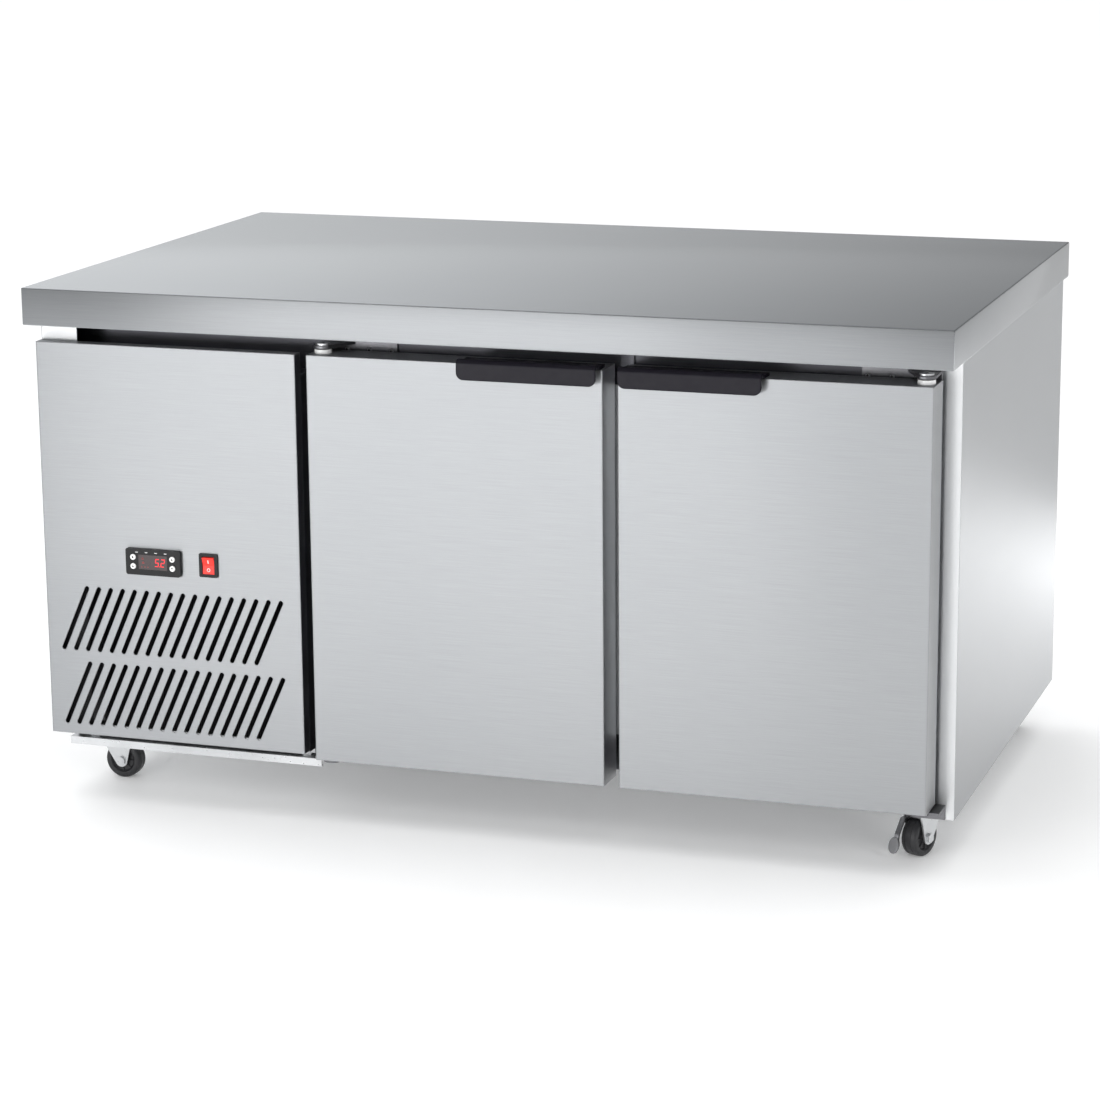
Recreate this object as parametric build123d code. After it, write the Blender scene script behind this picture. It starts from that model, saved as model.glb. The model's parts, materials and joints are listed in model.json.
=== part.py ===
from build123d import *
import math
import os

# Undercounter refrigerator: a worktop on a cold box with two hinged doors, with a machine compartment at
# its left, all on four castors. Millimetres. X runs to the right, Y to the back and Z up. The origin is the
# middle of the footprint, on the floor.

# ---------------------------------------------------------------- driving dimensions
LENGTH = 1200.0
DEPTH = 760.0
HEIGHT = 680.0
WORKTOP_HEIGHT = 48.0
SHEET = 1.5
SIDE_INSET = 6.0
WALL = 44.0

BODY_X = LENGTH / 2 - SIDE_INSET
BODY_BACK = DEPTH / 2 - SIDE_INSET
BODY_FRONT = -297.0
BODY_TOP = HEIGHT - WORKTOP_HEIGHT
BOX_BOTTOM = 88.0
SKIRT_BOTTOM = 61.5
BOX_LEFT = -228.0
RAIL_DEPTH = 40.0
RAIL_BACK = BODY_FRONT + RAIL_DEPTH
OPENING_BOTTOM = 134.0
OPENING_TOP = 580.0
OPENING_LEFT = BOX_LEFT + WALL
OPENING_RIGHT = BODY_X - WALL
BAY_BACK = BODY_BACK - WALL + 2.0

# doors
FACE_Y = -358.0
DOOR_THICKNESS = 50.0
DOOR_BOTTOM = 84.0
DOOR_TOP = 608.0
DOOR_WIDTH = 387.0
DOOR_GAP = 19.0
DOOR_SPLIT = 175.5
DOOR_BACK = FACE_Y + DOOR_THICKNESS
MULLION_WIDTH = 70.0
PIVOT_INSET = 14.0
PIVOT_Y = FACE_Y + 24.0
PIN_RADIUS = 4.0
RUNNING_GAP = 0.05
GASKET_INSET = 11.0
GASKET_WIDTH = 12.0
GASKET_BACK = BODY_FRONT - 0.3
BUSH_DEPTH = 14.0
BUSH_CAP = 5.0
BUSH_SEAT = 8.3
HINGE_PLATE = 3.5
HINGE_REACH = 86.0
HINGE_SCREWS = (19.0, 49.0, 78.5)
HINGE_SCREW_HEAD = 3.2
HANDLE_LENGTH = 178.0
HANDLE_END_GAP = 4.5
HANDLE_REACH = 16.0
HANDLE_WALL = 3.5
HANDLE_RISE = 7.0
HANDLE_DROP = 18.0

# machine compartment's front panel
PANEL_RIGHT = -236.0
PANEL_BOTTOM = 90.0
PANEL_BACK = -340.5
SIDE_FRONT = -340.0
SIDE_RETURN = 50.0
POST_LEFT = -260.0
SLOT_COUNT = 17
SLOT_PITCH = 17.0
SLOT_WIDTH = 6.0
SLOT_LEAN = 36.0
SLOT_ROWS = ((203.0, 290.0), (103.0, 189.0))
SLOT_FIRST_X = -571.5

# vents in the left side and the back
VENT_HEIGHT = 6.0
SIDE_VENT_Y = (40.0, 170.0)
SIDE_VENT_HALF = 45.0
SIDE_VENT_ROWS = [180.0 + row * 22.0 for row in range(10)]
BACK_VENT_X = (-540.0, -290.0)
BACK_VENT_ROWS = [200.0 + row * 24.0 for row in range(8)]

# shelves
SHELF_Z = 345.0
SHELF_Y = (-240.0, 232.0)
SHELF_RIM = 3.5
SHELF_WIRE = 1.6
SHELF_STAY = 2.5
SHELF_WIRES = 12
POST_Y = (-190.0, 180.0)
POST_HALF = 10.0
POST_DEPTH = 2.5
MIDDLE_POST_HALF = 4.0
CLIP_HALF = 8.0

# controller and switch
CONTROLLER_CENTRE = (-438.0, 329.0)
CONTROLLER_SIZE = (76.0, 34.5)
SWITCH_CENTRE = (-361.6, 329.8)
SWITCH_SIZE = (25.5, 31.0)
ROCKER_AXIS_DEPTH = 2.0
ROCKER_TILT = 6.0
ROCKER_PIN = 1.2
BUTTON_SPOTS = (("set_button", -27.5, 6.0), ("defrost_button", -27.5, -6.0),
                ("up_button", 27.5, 6.0), ("down_button", 27.5, -6.0))

# base and castors
PAN_TOP = 70.0
PAN_FRONT = -311.0
PAN_LIP = 10.0
PLATE_TOP = PAN_TOP - SHEET
WHEEL_RADIUS = 25.0
WHEEL_WIDTH = 22.0
CASTOR_TRAIL = 12.0
AXLE_RADIUS = 4.0
CROWN_BOTTOM = 56.0
LEG_WALL = 2.4
LEG_GAP = WHEEL_WIDTH / 2 + 1.6
BRAKE_PIVOT = (CASTOR_TRAIL + 11.0, 53.0)
BRAKE_PIN = 1.5
BRAKE_PAD = (51.0, -10.5, 19.0)
CASTORS = (("front_left_castor", -557.0, -245.0, 0.0), ("front_right_castor", 547.0, -245.0, -113.0),
           ("rear_left_castor", -557.0, 310.0, 90.0), ("rear_right_castor", 547.0, 310.0, 90.0))

# condensing unit and power inlet
GLAND_CENTRE = (-560.0, 140.0)
GLAND_BORE = 4.5
GLAND_HOLE = 8.0
UNIT_CENTRE_X = -412.0
TRAY_TOP = 76.0
CONDENSER_HALF = 134.0
CONDENSER_Y = (-296.0, -240.0)
CONDENSER_TOP = 300.0
BEND_ROWS = 6
BEND_PITCH = 32.0
FAN_Z = 190.0
FAN_RADIUS = 96.0
COMPRESSOR = (UNIT_CENTRE_X + 20.0, 150.0)
COMPRESSOR_RADIUS = 78.0
COMPRESSOR_HEIGHT = 176.0
FOOT_Z = TRAY_TOP + 14.0
SUCTION_RADIUS = 5.0
LIQUID_RADIUS = 3.0
PIPE_Y = 300.0
PIPE_Z = 430.0
LIQUID_Z = PIPE_Z + 12.0
PIPE_HOLE = 19.0

# evaporator, on the back wall behind the mullion
EVAPORATOR_WIDTH = 200.0
EVAPORATOR_FRONT = 246.0
EVAPORATOR_Z = (330.0, 560.0)
EVAPORATOR_FAN_RADIUS = 70.0
COVER_WALL = 2.0
COIL_DEPTH = 36.0

parts = {}


# ---------------------------------------------------------------- helpers
def block(x, y, z):
    """A box between pairs of limits along X, Y and Z."""
    size = [abs(pair[1] - pair[0]) for pair in (x, y, z)]
    centre = [(pair[0] + pair[1]) / 2 for pair in (x, y, z)]
    return Pos(*centre) * Box(*size)


def rod(start, end, radius):
    """A round bar between two points."""
    start = Vector(*start)
    end = Vector(*end)
    plane = Plane(origin=start, z_dir=(end - start).normalized())
    return plane * Cylinder(radius, (end - start).length, align=(Align.CENTER, Align.CENTER, Align.MIN))


def upright(x, y, z, radius):
    return rod((x, y, z[0]), (x, y, z[1]), radius)


def along_y(x, y, z, radius):
    return rod((x, y[0], z), (x, y[1], z), radius)


def along_x(x, y, z, radius):
    return rod((x[0], y, z), (x[1], y, z), radius)


def tube_path(points, radius, bend):
    """A round tube of straight runs joined by arcs of one radius."""
    path = FilletPolyline(*points, radius=bend)
    return sweep(Plane(origin=path @ 0, z_dir=path % 0) * Circle(radius), path=path)


def joined(pieces):
    """One solid from pieces that touch or overlap."""
    total = pieces[0]
    for piece in pieces[1:]:
        total = total + piece
    return total


def add(name, shape):
    shape.label = name
    parts[name] = shape


# ---------------------------------------------------------------- worktop and casing
def worktop():
    outer = block((-LENGTH / 2, LENGTH / 2), (-DEPTH / 2, DEPTH / 2), (BODY_TOP, HEIGHT))
    outer = fillet(outer.edges().filter_by(Axis.Z), 1.2)
    hollow = block((-LENGTH / 2 + SHEET, LENGTH / 2 - SHEET), (-DEPTH / 2 + SHEET, DEPTH / 2 - SHEET),
                   (BODY_TOP + SHEET, HEIGHT - SHEET))
    lip = 16.0
    mouth = block((-LENGTH / 2 + lip, LENGTH / 2 - lip), (-DEPTH / 2 + lip, DEPTH / 2 - lip),
                  (BODY_TOP - 1, BODY_TOP + SHEET))
    add("worktop", outer - hollow - mouth)
    margin = SHEET + 0.2
    board = block((-LENGTH / 2 + margin, LENGTH / 2 - margin), (-DEPTH / 2 + margin, DEPTH / 2 - margin),
                  (BODY_TOP + SHEET, HEIGHT - SHEET))
    add("worktop_board", board)


def side_panels():
    x = (BODY_X - SHEET, BODY_X)
    side = block(x, (BODY_FRONT, BODY_BACK), (SKIRT_BOTTOM, BODY_TOP))
    front = block((OPENING_RIGHT, BODY_X), (BODY_FRONT, BODY_FRONT + SHEET), (SKIRT_BOTTOM, BODY_TOP))
    add("right_side_panel", side + front)

    side = block((-BODY_X, -BODY_X + SHEET), (SIDE_FRONT, BODY_BACK), (BOX_BOTTOM, BODY_TOP))
    front = block((-BODY_X, -BODY_X + SIDE_RETURN), (SIDE_FRONT, SIDE_FRONT + SHEET), (BOX_BOTTOM, BODY_TOP))
    vents = []
    for z in SIDE_VENT_ROWS:
        for y in SIDE_VENT_Y:
            vents.append(block((-BODY_X - 1, -BODY_X + SHEET + 1), (y - SIDE_VENT_HALF, y + SIDE_VENT_HALF),
                               (z, z + VENT_HEIGHT)))
    add("left_side_panel", side + front - Compound(vents))


def outer_panels():
    back = block((-BODY_X + SHEET, BODY_X - SHEET), (BODY_BACK - SHEET, BODY_BACK), (BOX_BOTTOM, BODY_TOP))
    slots = []
    for z in BACK_VENT_ROWS:
        slots.append(block(BACK_VENT_X, (BODY_BACK - 3, BODY_BACK + 1), (z, z + VENT_HEIGHT)))
    gland_hole = along_y(GLAND_CENTRE[0], (BODY_BACK - 5, BODY_BACK + 2), GLAND_CENTRE[1], GLAND_HOLE)
    add("back_panel", back - Compound(slots) - gland_hole)
    inside_y = (RAIL_BACK, BODY_BACK - SHEET)
    underside = block((BOX_LEFT, BODY_X - SHEET), inside_y, (BOX_BOTTOM, BOX_BOTTOM + SHEET))
    roof = block((-BODY_X + SHEET, BODY_X - SHEET), inside_y, (BODY_TOP - SHEET, BODY_TOP))
    partition = block((BOX_LEFT, BOX_LEFT + SHEET), inside_y, (BOX_BOTTOM + SHEET, BODY_TOP - SHEET))
    add("casing_panels", Compound([underside, roof, partition - pipe_hole()]))


def pipe_hole():
    """The hole through the cold box's left wall that the refrigerant lines pass."""
    return along_x((BOX_LEFT - 5, OPENING_LEFT + 5), PIPE_Y, PIPE_Z, PIPE_HOLE)


def cold_box():
    mullion = (DOOR_SPLIT - MULLION_WIDTH / 2, DOOR_SPLIT + MULLION_WIDTH / 2)
    rail_y = (BODY_FRONT, RAIL_BACK)
    opening_z = (OPENING_BOTTOM, OPENING_TOP)
    top_rail = block((-BODY_X + SHEET, OPENING_RIGHT), rail_y, (OPENING_TOP, BODY_TOP))
    bottom_rail = block((BOX_LEFT, OPENING_RIGHT), rail_y, (BOX_BOTTOM, OPENING_BOTTOM))
    left_stile = block((BOX_LEFT, OPENING_LEFT), rail_y, opening_z)
    stile_y = (BODY_FRONT + SHEET, RAIL_BACK)
    right_stile = block((OPENING_RIGHT, BODY_X - SHEET), stile_y, (BOX_BOTTOM, BODY_TOP))
    compartment_post = block((POST_LEFT, PANEL_RIGHT), (SIDE_FRONT, RAIL_BACK), (BOX_BOTTOM, OPENING_TOP))
    filler = block((PANEL_RIGHT, BOX_LEFT), rail_y, (BOX_BOTTOM, OPENING_TOP))
    tab = block((DOOR_SPLIT - 5.0, DOOR_SPLIT + 13.0), (BODY_FRONT - 3.0, BODY_FRONT), (604.0, BODY_TOP))
    rails = [top_rail, bottom_rail, left_stile, right_stile]
    add("door_frame", Compound(rails + [compartment_post, filler, tab]))
    post = block(mullion, rail_y, opening_z)
    add("centre_mullion", fillet(post.edges().filter_by(Axis.Z), 2.0))

    # Foam fills the space between the outer panels and the liner.
    outer = block((BOX_LEFT + SHEET, BODY_X - SHEET), (RAIL_BACK, BODY_BACK - SHEET),
                  (BOX_BOTTOM + SHEET, BODY_TOP - SHEET))
    core = block((OPENING_LEFT - SHEET, OPENING_RIGHT + SHEET), (RAIL_BACK - 5, BAY_BACK + SHEET),
                 (OPENING_BOTTOM - SHEET, OPENING_TOP + SHEET))
    add("foam_insulation", outer - core - pipe_hole())

    x = (OPENING_LEFT, OPENING_RIGHT)
    y = (RAIL_BACK, BAY_BACK)
    z = (OPENING_BOTTOM, OPENING_TOP)
    full_x = (x[0] - SHEET, x[1] + SHEET)
    liners = [
        block(full_x, (y[0], y[1] + SHEET), (z[0] - SHEET, z[0])),
        block(full_x, (y[0], y[1] + SHEET), (z[1], z[1] + SHEET)),
        block(full_x, (y[1], y[1] + SHEET), z),
        block((x[0] - SHEET, x[0]), y, z) - pipe_hole(),
        block((x[1], x[1] + SHEET), y, z),
    ]
    add("liner_panels", Compound(liners))


# ---------------------------------------------------------------- shelves
def shelf_clip(wall_x, inward, post_y):
    """A hook on a post that holds up one side of a shelf."""
    x = sorted((wall_x, wall_x + inward * 15.5))
    return block(x, (post_y - CLIP_HALF, post_y + CLIP_HALF), (SHELF_Z - 7.0, SHELF_Z - SHELF_RIM))


def shelf(x):
    """A wire shelf: a rim, wires from front to back, and two stays across them."""
    rim_x = (x[0] + SHELF_RIM, x[1] - SHELF_RIM)
    wires = []
    for edge_y in SHELF_Y:
        wires.append(along_x(rim_x, edge_y, SHELF_Z, SHELF_RIM))
    for edge_x in rim_x:
        wires.append(along_y(edge_x, (SHELF_Y[0] - SHELF_RIM, SHELF_Y[1] + SHELF_RIM), SHELF_Z, SHELF_RIM))
    pitch = (rim_x[1] - rim_x[0]) / (SHELF_WIRES + 1)
    for index in range(1, SHELF_WIRES + 1):
        wires.append(along_y(rim_x[0] + index * pitch, SHELF_Y, SHELF_Z + 3.0, SHELF_WIRE))
    for stay_y in (-90.0, 80.0):
        wires.append(along_x(rim_x, stay_y, SHELF_Z - 0.4, SHELF_STAY))
    return joined(wires)


def shelves():
    left = (OPENING_LEFT + 9.0, DOOR_SPLIT - 8.0)
    right = (DOOR_SPLIT + 8.0, OPENING_RIGHT - 9.0)
    add("wire_shelves", Compound([shelf(left), shelf(right)]))
    supports = []
    for post_y in POST_Y:
        y = (post_y - POST_HALF, post_y + POST_HALF)
        for wall_x, inward in ((OPENING_LEFT, 1.0), (OPENING_RIGHT, -1.0)):
            face_x = wall_x + inward * POST_DEPTH
            supports.append(block(sorted((wall_x, face_x)), y, (150.0, 565.0)))
            supports.append(shelf_clip(face_x, inward, post_y))
        # The inner ends rest on one post behind the mullion and on one in front of the evaporator.
        post_x = (DOOR_SPLIT - MIDDLE_POST_HALF, DOOR_SPLIT + MIDDLE_POST_HALF)
        supports.append(block(post_x, y, (OPENING_BOTTOM, OPENING_TOP)))
        supports.append(shelf_clip(post_x[0], -1.0, post_y))
        supports.append(shelf_clip(post_x[1], 1.0, post_y))
    add("shelf_supports", Compound(supports))


# ---------------------------------------------------------------- machine compartment
def front_panel():
    x = (-BODY_X, PANEL_RIGHT)
    pan = block(x, (FACE_Y, PANEL_BACK), (PANEL_BOTTOM, DOOR_TOP))
    pan = fillet(pan.edges().filter_by(Axis.Z).sort_by(Axis.Y)[:2], 1.2)
    hollow = block((x[0] + SHEET, x[1] - SHEET), (FACE_Y + SHEET, PANEL_BACK + 1),
                   (PANEL_BOTTOM + SHEET, DOOR_TOP - SHEET))
    cutters = []
    for bottom, top in SLOT_ROWS:
        height = top - bottom
        length = math.hypot(height - SLOT_WIDTH, SLOT_LEAN) + SLOT_WIDTH
        angle = math.degrees(math.atan2(SLOT_LEAN, height - SLOT_WIDTH))
        slot = SlotOverall(length, SLOT_WIDTH, rotation=90 - angle)
        for index in range(SLOT_COUNT):
            centre_x = SLOT_FIRST_X + SLOT_LEAN / 2 + index * SLOT_PITCH
            centre = (centre_x, FACE_Y - 1, (bottom + top) / 2)
            plane = Plane(origin=centre, x_dir=(1, 0, 0), z_dir=(0, -1, 0))
            cutters.append(extrude(plane * slot, amount=-(SHEET + 2)))
    cx, cz = CONTROLLER_CENTRE
    cutters.append(block((cx - 35.5, cx + 35.5), (FACE_Y - 1, FACE_Y + 3), (cz - 14.5, cz + 14.5)))
    sx, sz = SWITCH_CENTRE
    cutters.append(block((sx - 11.0, sx + 11.0), (FACE_Y - 1, FACE_Y + 3), (sz - 13.8, sz + 13.8)))
    add("front_panel", pan - hollow - Compound(cutters))


def controller():
    cx, cz = CONTROLLER_CENTRE
    width, height = CONTROLLER_SIZE
    bezel_y = (FACE_Y - 5.0, FACE_Y)
    bezel = block((cx - width / 2, cx + width / 2), bezel_y, (cz - height / 2, cz + height / 2))
    bezel = fillet(bezel.edges().filter_by(Axis.Y), 3.0)
    body = block((cx - 35.0, cx + 35.0), (FACE_Y, FACE_Y + 58.0), (cz - 14.0, cz + 14.0))
    window_x = (cx - 20.0, cx + 20.0)
    window = block(window_x, (FACE_Y - 4.9, FACE_Y - 3.2), (cz - 9.5, cz + 9.5))
    recess = block(window_x, (FACE_Y - 6.0, FACE_Y - 3.2), (cz - 9.5, cz + 9.5))
    housing = bezel + body - recess
    for name, dx, dz in BUTTON_SPOTS:
        well = along_y(cx + dx, (FACE_Y - 6.0, FACE_Y + 2.0), cz + dz, 4.0)
        housing = housing - well
        cap = along_y(cx + dx, (FACE_Y - 6.4, FACE_Y - 0.5), cz + dz, 3.7)
        add(name, fillet(cap.edges().sort_by(Axis.Y)[:1], 0.8))
    add("controller_housing", housing)
    add("controller_window", window)


def switch():
    sx, sz = SWITCH_CENTRE
    width, height = SWITCH_SIZE
    flange_z = (sz - height / 2, sz + height / 2)
    flange = block((sx - width / 2, sx + width / 2), (FACE_Y - 2.5, FACE_Y), flange_z)
    flange = fillet(flange.edges().filter_by(Axis.Y), 2.0)
    body = block((sx - 10.7, sx + 10.7), (FACE_Y, FACE_Y + 26.0), (sz - 13.5, sz + 13.5))
    well = block((sx - 8.4, sx + 8.4), (FACE_Y - 4, FACE_Y + 14.0), (sz - 11.6, sz + 11.6))
    pin_y = FACE_Y + ROCKER_AXIS_DEPTH
    seat = along_x((sx - 9.9, sx + 9.9), pin_y, sz, ROCKER_PIN + RUNNING_GAP)
    add("switch_frame", flange + body - well - seat)
    # The rocker's face is a shallow V, and the switch stands in its on position.
    outline = Polyline((-4.8, -10.9), (-3.0, 0), (-4.8, 10.9), (4.5, 9.6), (4.5, -9.6), close=True)
    plane = Plane(origin=(-8.0, 0, 0), x_dir=(0, 1, 0), z_dir=(1, 0, 0))
    rocker = extrude(plane * make_face(outline), amount=16.0)
    pin = along_x((-9.7, 9.7), 0, 0, ROCKER_PIN)
    add("rocker", Pos(sx, pin_y, sz) * Rot(ROCKER_TILT, 0, 0) * (rocker + pin))


def base():
    x = (-BODY_X + SHEET, BOX_LEFT - 5.0)
    y = (PAN_FRONT, BODY_BACK - SHEET)
    floor = block(x, y, (PAN_TOP - SHEET, PAN_TOP))
    lip = block(x, (PAN_FRONT, PAN_FRONT + SHEET), (PAN_TOP - PAN_LIP, PAN_TOP))
    hem = block(x, (PAN_FRONT, PAN_FRONT + 6.0), (PAN_TOP - PAN_LIP, PAN_TOP - PAN_LIP + SHEET))
    left = block((x[0], x[0] + SHEET), (-290.0, y[1]), (PAN_TOP, 120.0))
    back = block(x, (y[1] - SHEET, y[1]), (PAN_TOP, 100.0))
    right = block((x[1] - SHEET, x[1]), (RAIL_BACK + 1.0, y[1]), (PAN_TOP, 120.0))
    pan = joined([floor, lip, hem, left, back, right])

    channel = block((470.0, BODY_X - SHEET), (-290.0, 360.0), (PLATE_TOP, BOX_BOTTOM))
    inside = block((472.0, BODY_X - SHEET - 2.0), (-291.0, 361.0), (PLATE_TOP + 2.0, BOX_BOTTOM - 2.0))

    tray_x = (-578.0, -246.0)
    tray_y = (-300.0, 340.0)
    tray = block(tray_x, tray_y, (TRAY_TOP - 2.0, TRAY_TOP))
    tray = tray + block(tray_x, (tray_y[0], tray_y[0] + 2.0), (TRAY_TOP, TRAY_TOP + 10.0))
    runners = []
    for runner_x in (-570.0, -266.0):
        runners.append(block((runner_x, runner_x + 12.0), (-296.0, 336.0), (PAN_TOP, TRAY_TOP - 2.0)))
    add("base_frame", Compound([pan, channel - inside]))
    add("unit_tray", Compound([tray] + runners))


def condenser():
    """A fin block with return bends at each end, and the shroud and motor of its fan."""
    cx = UNIT_CENTRE_X
    coil_x = (cx - CONDENSER_HALF, cx + CONDENSER_HALF)
    coil_z = (TRAY_TOP + 10.0, CONDENSER_TOP)
    bend_y = (CONDENSER_Y[0] + 16.0, CONDENSER_Y[1] - 16.0)
    bends = []
    for row in range(BEND_ROWS):
        z = coil_z[0] + 22.0 + row * BEND_PITCH
        for end, sign in ((coil_x[0], -1.0), (coil_x[1], 1.0)):
            tip = end + sign * 12.0
            inside = end - sign * 4.0
            route = [(inside, bend_y[0], z), (tip, bend_y[0], z), (tip, bend_y[1], z), (inside, bend_y[1], z)]
            bends.append(tube_path(route, 4.0, 10.0))
    add("condenser_coil", joined([block(coil_x, CONDENSER_Y, coil_z)] + bends))

    back = CONDENSER_Y[1]
    ring = block(coil_x, (back, back + 2.0), (TRAY_TOP, CONDENSER_TOP))
    ring = ring + along_y(cx, (back + 2.0, back + 28.0), FAN_Z, FAN_RADIUS + 8.0)
    ring = ring - along_y(cx, (back - 5.0, back + 35.0), FAN_Z, FAN_RADIUS + 5.0)
    feet = block(coil_x, (back, back + 40.0), (TRAY_TOP, TRAY_TOP + 2.0))
    legs = []
    for leg_x in (coil_x[0] + 6.0, coil_x[1] - 6.0):
        legs.append(block((leg_x - 6, leg_x + 6), CONDENSER_Y, (TRAY_TOP, coil_z[0])))
    add("fan_shroud", joined([ring, feet] + legs))

    fan("condenser_fan", cx, back + 4.0, FAN_Z, FAN_RADIUS, 20.0)
    motor = along_y(cx, (back + 34.0, back + 94.0), FAN_Z, 38.0)
    motor = fillet(motor.edges().sort_by(Axis.Y)[-1:], 6.0)
    shaft = along_y(cx, (back + 8.0, back + 34.0), FAN_Z, 4.0)
    foot = block((cx - 12, cx + 12), (back + 50.0, back + 78.0), (TRAY_TOP, FAN_Z - 20.0))
    foot_plate = block((cx - 40, cx + 40), (back + 44.0, back + 84.0), (TRAY_TOP, TRAY_TOP + 3.0))
    add("condenser_fan_motor", joined([motor, shaft, foot, foot_plate]))


def compressor():
    """A welded pot on two foot bars and four rubber feet, with its terminal box and pipe stubs."""
    px, py = COMPRESSOR
    pot = upright(px, py, (FOOT_Z + 4.0, FOOT_Z + 4.0 + COMPRESSOR_HEIGHT), COMPRESSOR_RADIUS)
    pot = fillet(pot.edges().filter_by(GeomType.CIRCLE), 34.0)
    seam = upright(px, py, (FOOT_Z + 96.0, FOOT_Z + 102.0), COMPRESSOR_RADIUS + 4.0)
    feet_bars = []
    rubber = []
    for sx in (-1.0, 1.0):
        for sy in (-1.0, 1.0):
            fx = px + sx * 92.0
            fy = py + sy * 60.0
            feet_bars.append(block(sorted((px, fx + sx * 12)), (fy - 14, fy + 14), (FOOT_Z, FOOT_Z + 6.0)))
            foot = upright(fx, fy, (TRAY_TOP, FOOT_Z), 11.0)
            rubber.append(foot - upright(fx, fy, (TRAY_TOP, FOOT_Z), 4.0))
    stubs = [
        along_y(px - 30.0, (py - 100.0, py), FOOT_Z + 130.0, SUCTION_RADIUS),
        along_y(px + 30.0, (py - 100.0, py), FOOT_Z + 70.0, 4.0),
    ]
    box_x = (px - 118.0, px - COMPRESSOR_RADIUS - 4.5)
    terminal_box = block(box_x, (py - 28, py + 28), (FOOT_Z + 50.0, FOOT_Z + 92.0))
    terminal_box = fillet(terminal_box.edges().filter_by(Axis.X), 4.0)
    shell = joined([pot, seam] + feet_bars + stubs)
    add("compressor", Compound([shell, terminal_box] + rubber))


def refrigerant_lines():
    """The suction and liquid lines to the evaporator, the filter drier and the seals that they pass."""
    px, py = COMPRESSOR
    pipe_end = 60.0
    stub_z = FOOT_Z + 130.0
    suction_x = px - 30.0
    suction = tube_path([(suction_x, py - 100.0, stub_z), (suction_x, 0.0, stub_z), (suction_x, 0.0, PIPE_Z),
                         (suction_x, PIPE_Y, PIPE_Z), (pipe_end, PIPE_Y, PIPE_Z)], SUCTION_RADIUS, 24.0)
    drier_x = UNIT_CENTRE_X + 100.0
    drier_z = 330.0
    drier = along_y(drier_x, (-60.0, 40.0), drier_z, 12.0)
    drier = chamfer(drier.edges().filter_by(GeomType.CIRCLE), 4.0)
    liquid = tube_path([(drier_x, 40.0, drier_z), (drier_x, 100.0, drier_z), (drier_x, 100.0, LIQUID_Z),
                        (drier_x, PIPE_Y, LIQUID_Z), (pipe_end, PIPE_Y, LIQUID_Z)], LIQUID_RADIUS, 20.0)
    add("refrigerant_lines", Compound([suction, liquid, drier]))

    grommet = along_x((BOX_LEFT - 2.0, OPENING_LEFT + 2.0), PIPE_Y, PIPE_Z, PIPE_HOLE - 0.3)
    grommet = grommet - along_x((BOX_LEFT - 3, OPENING_LEFT + 3), PIPE_Y, PIPE_Z, SUCTION_RADIUS + 0.2)
    grommet = grommet - along_x((BOX_LEFT - 3, OPENING_LEFT + 3), PIPE_Y, LIQUID_Z, LIQUID_RADIUS + 0.2)
    gx, gz = GLAND_CENTRE
    gland = along_y(gx, (BODY_BACK - 12.0, BODY_BACK), gz, GLAND_HOLE - 0.2)
    gland = gland + along_y(gx, (BODY_BACK, BODY_BACK + 4.0), gz, GLAND_HOLE + 3.0)
    gland = gland - along_y(gx, (BODY_BACK - 13.0, BODY_BACK + 5.0), gz, GLAND_BORE)
    add("glands", Compound([gland, grommet]))


def fan(name, x, y, z, radius, depth):
    """A five-bladed axial fan on a shaft along Y; y is its front face."""
    hub = along_y(x, (y, y + depth), z, radius * 0.28)
    blades = []
    chord = radius * 0.52
    for index in range(5):
        blade = Box(radius * 0.74, 2.4, chord)
        blade = Pos(radius * 0.60, 0, 0) * Rot(24.0, 0, 0) * blade
        blade = Rot(0, index * 72.0, 0) * blade
        blades.append(Pos(x, y + depth / 2, z) * blade)
    rotor = joined([hub] + blades)
    rotor = rotor & along_y(x, (y - 20.0, y + depth + 20.0), z, radius)
    add(name, rotor - along_y(x, (y + 4.0, y + depth + 1.0), z, 4.0 + RUNNING_GAP))


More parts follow.
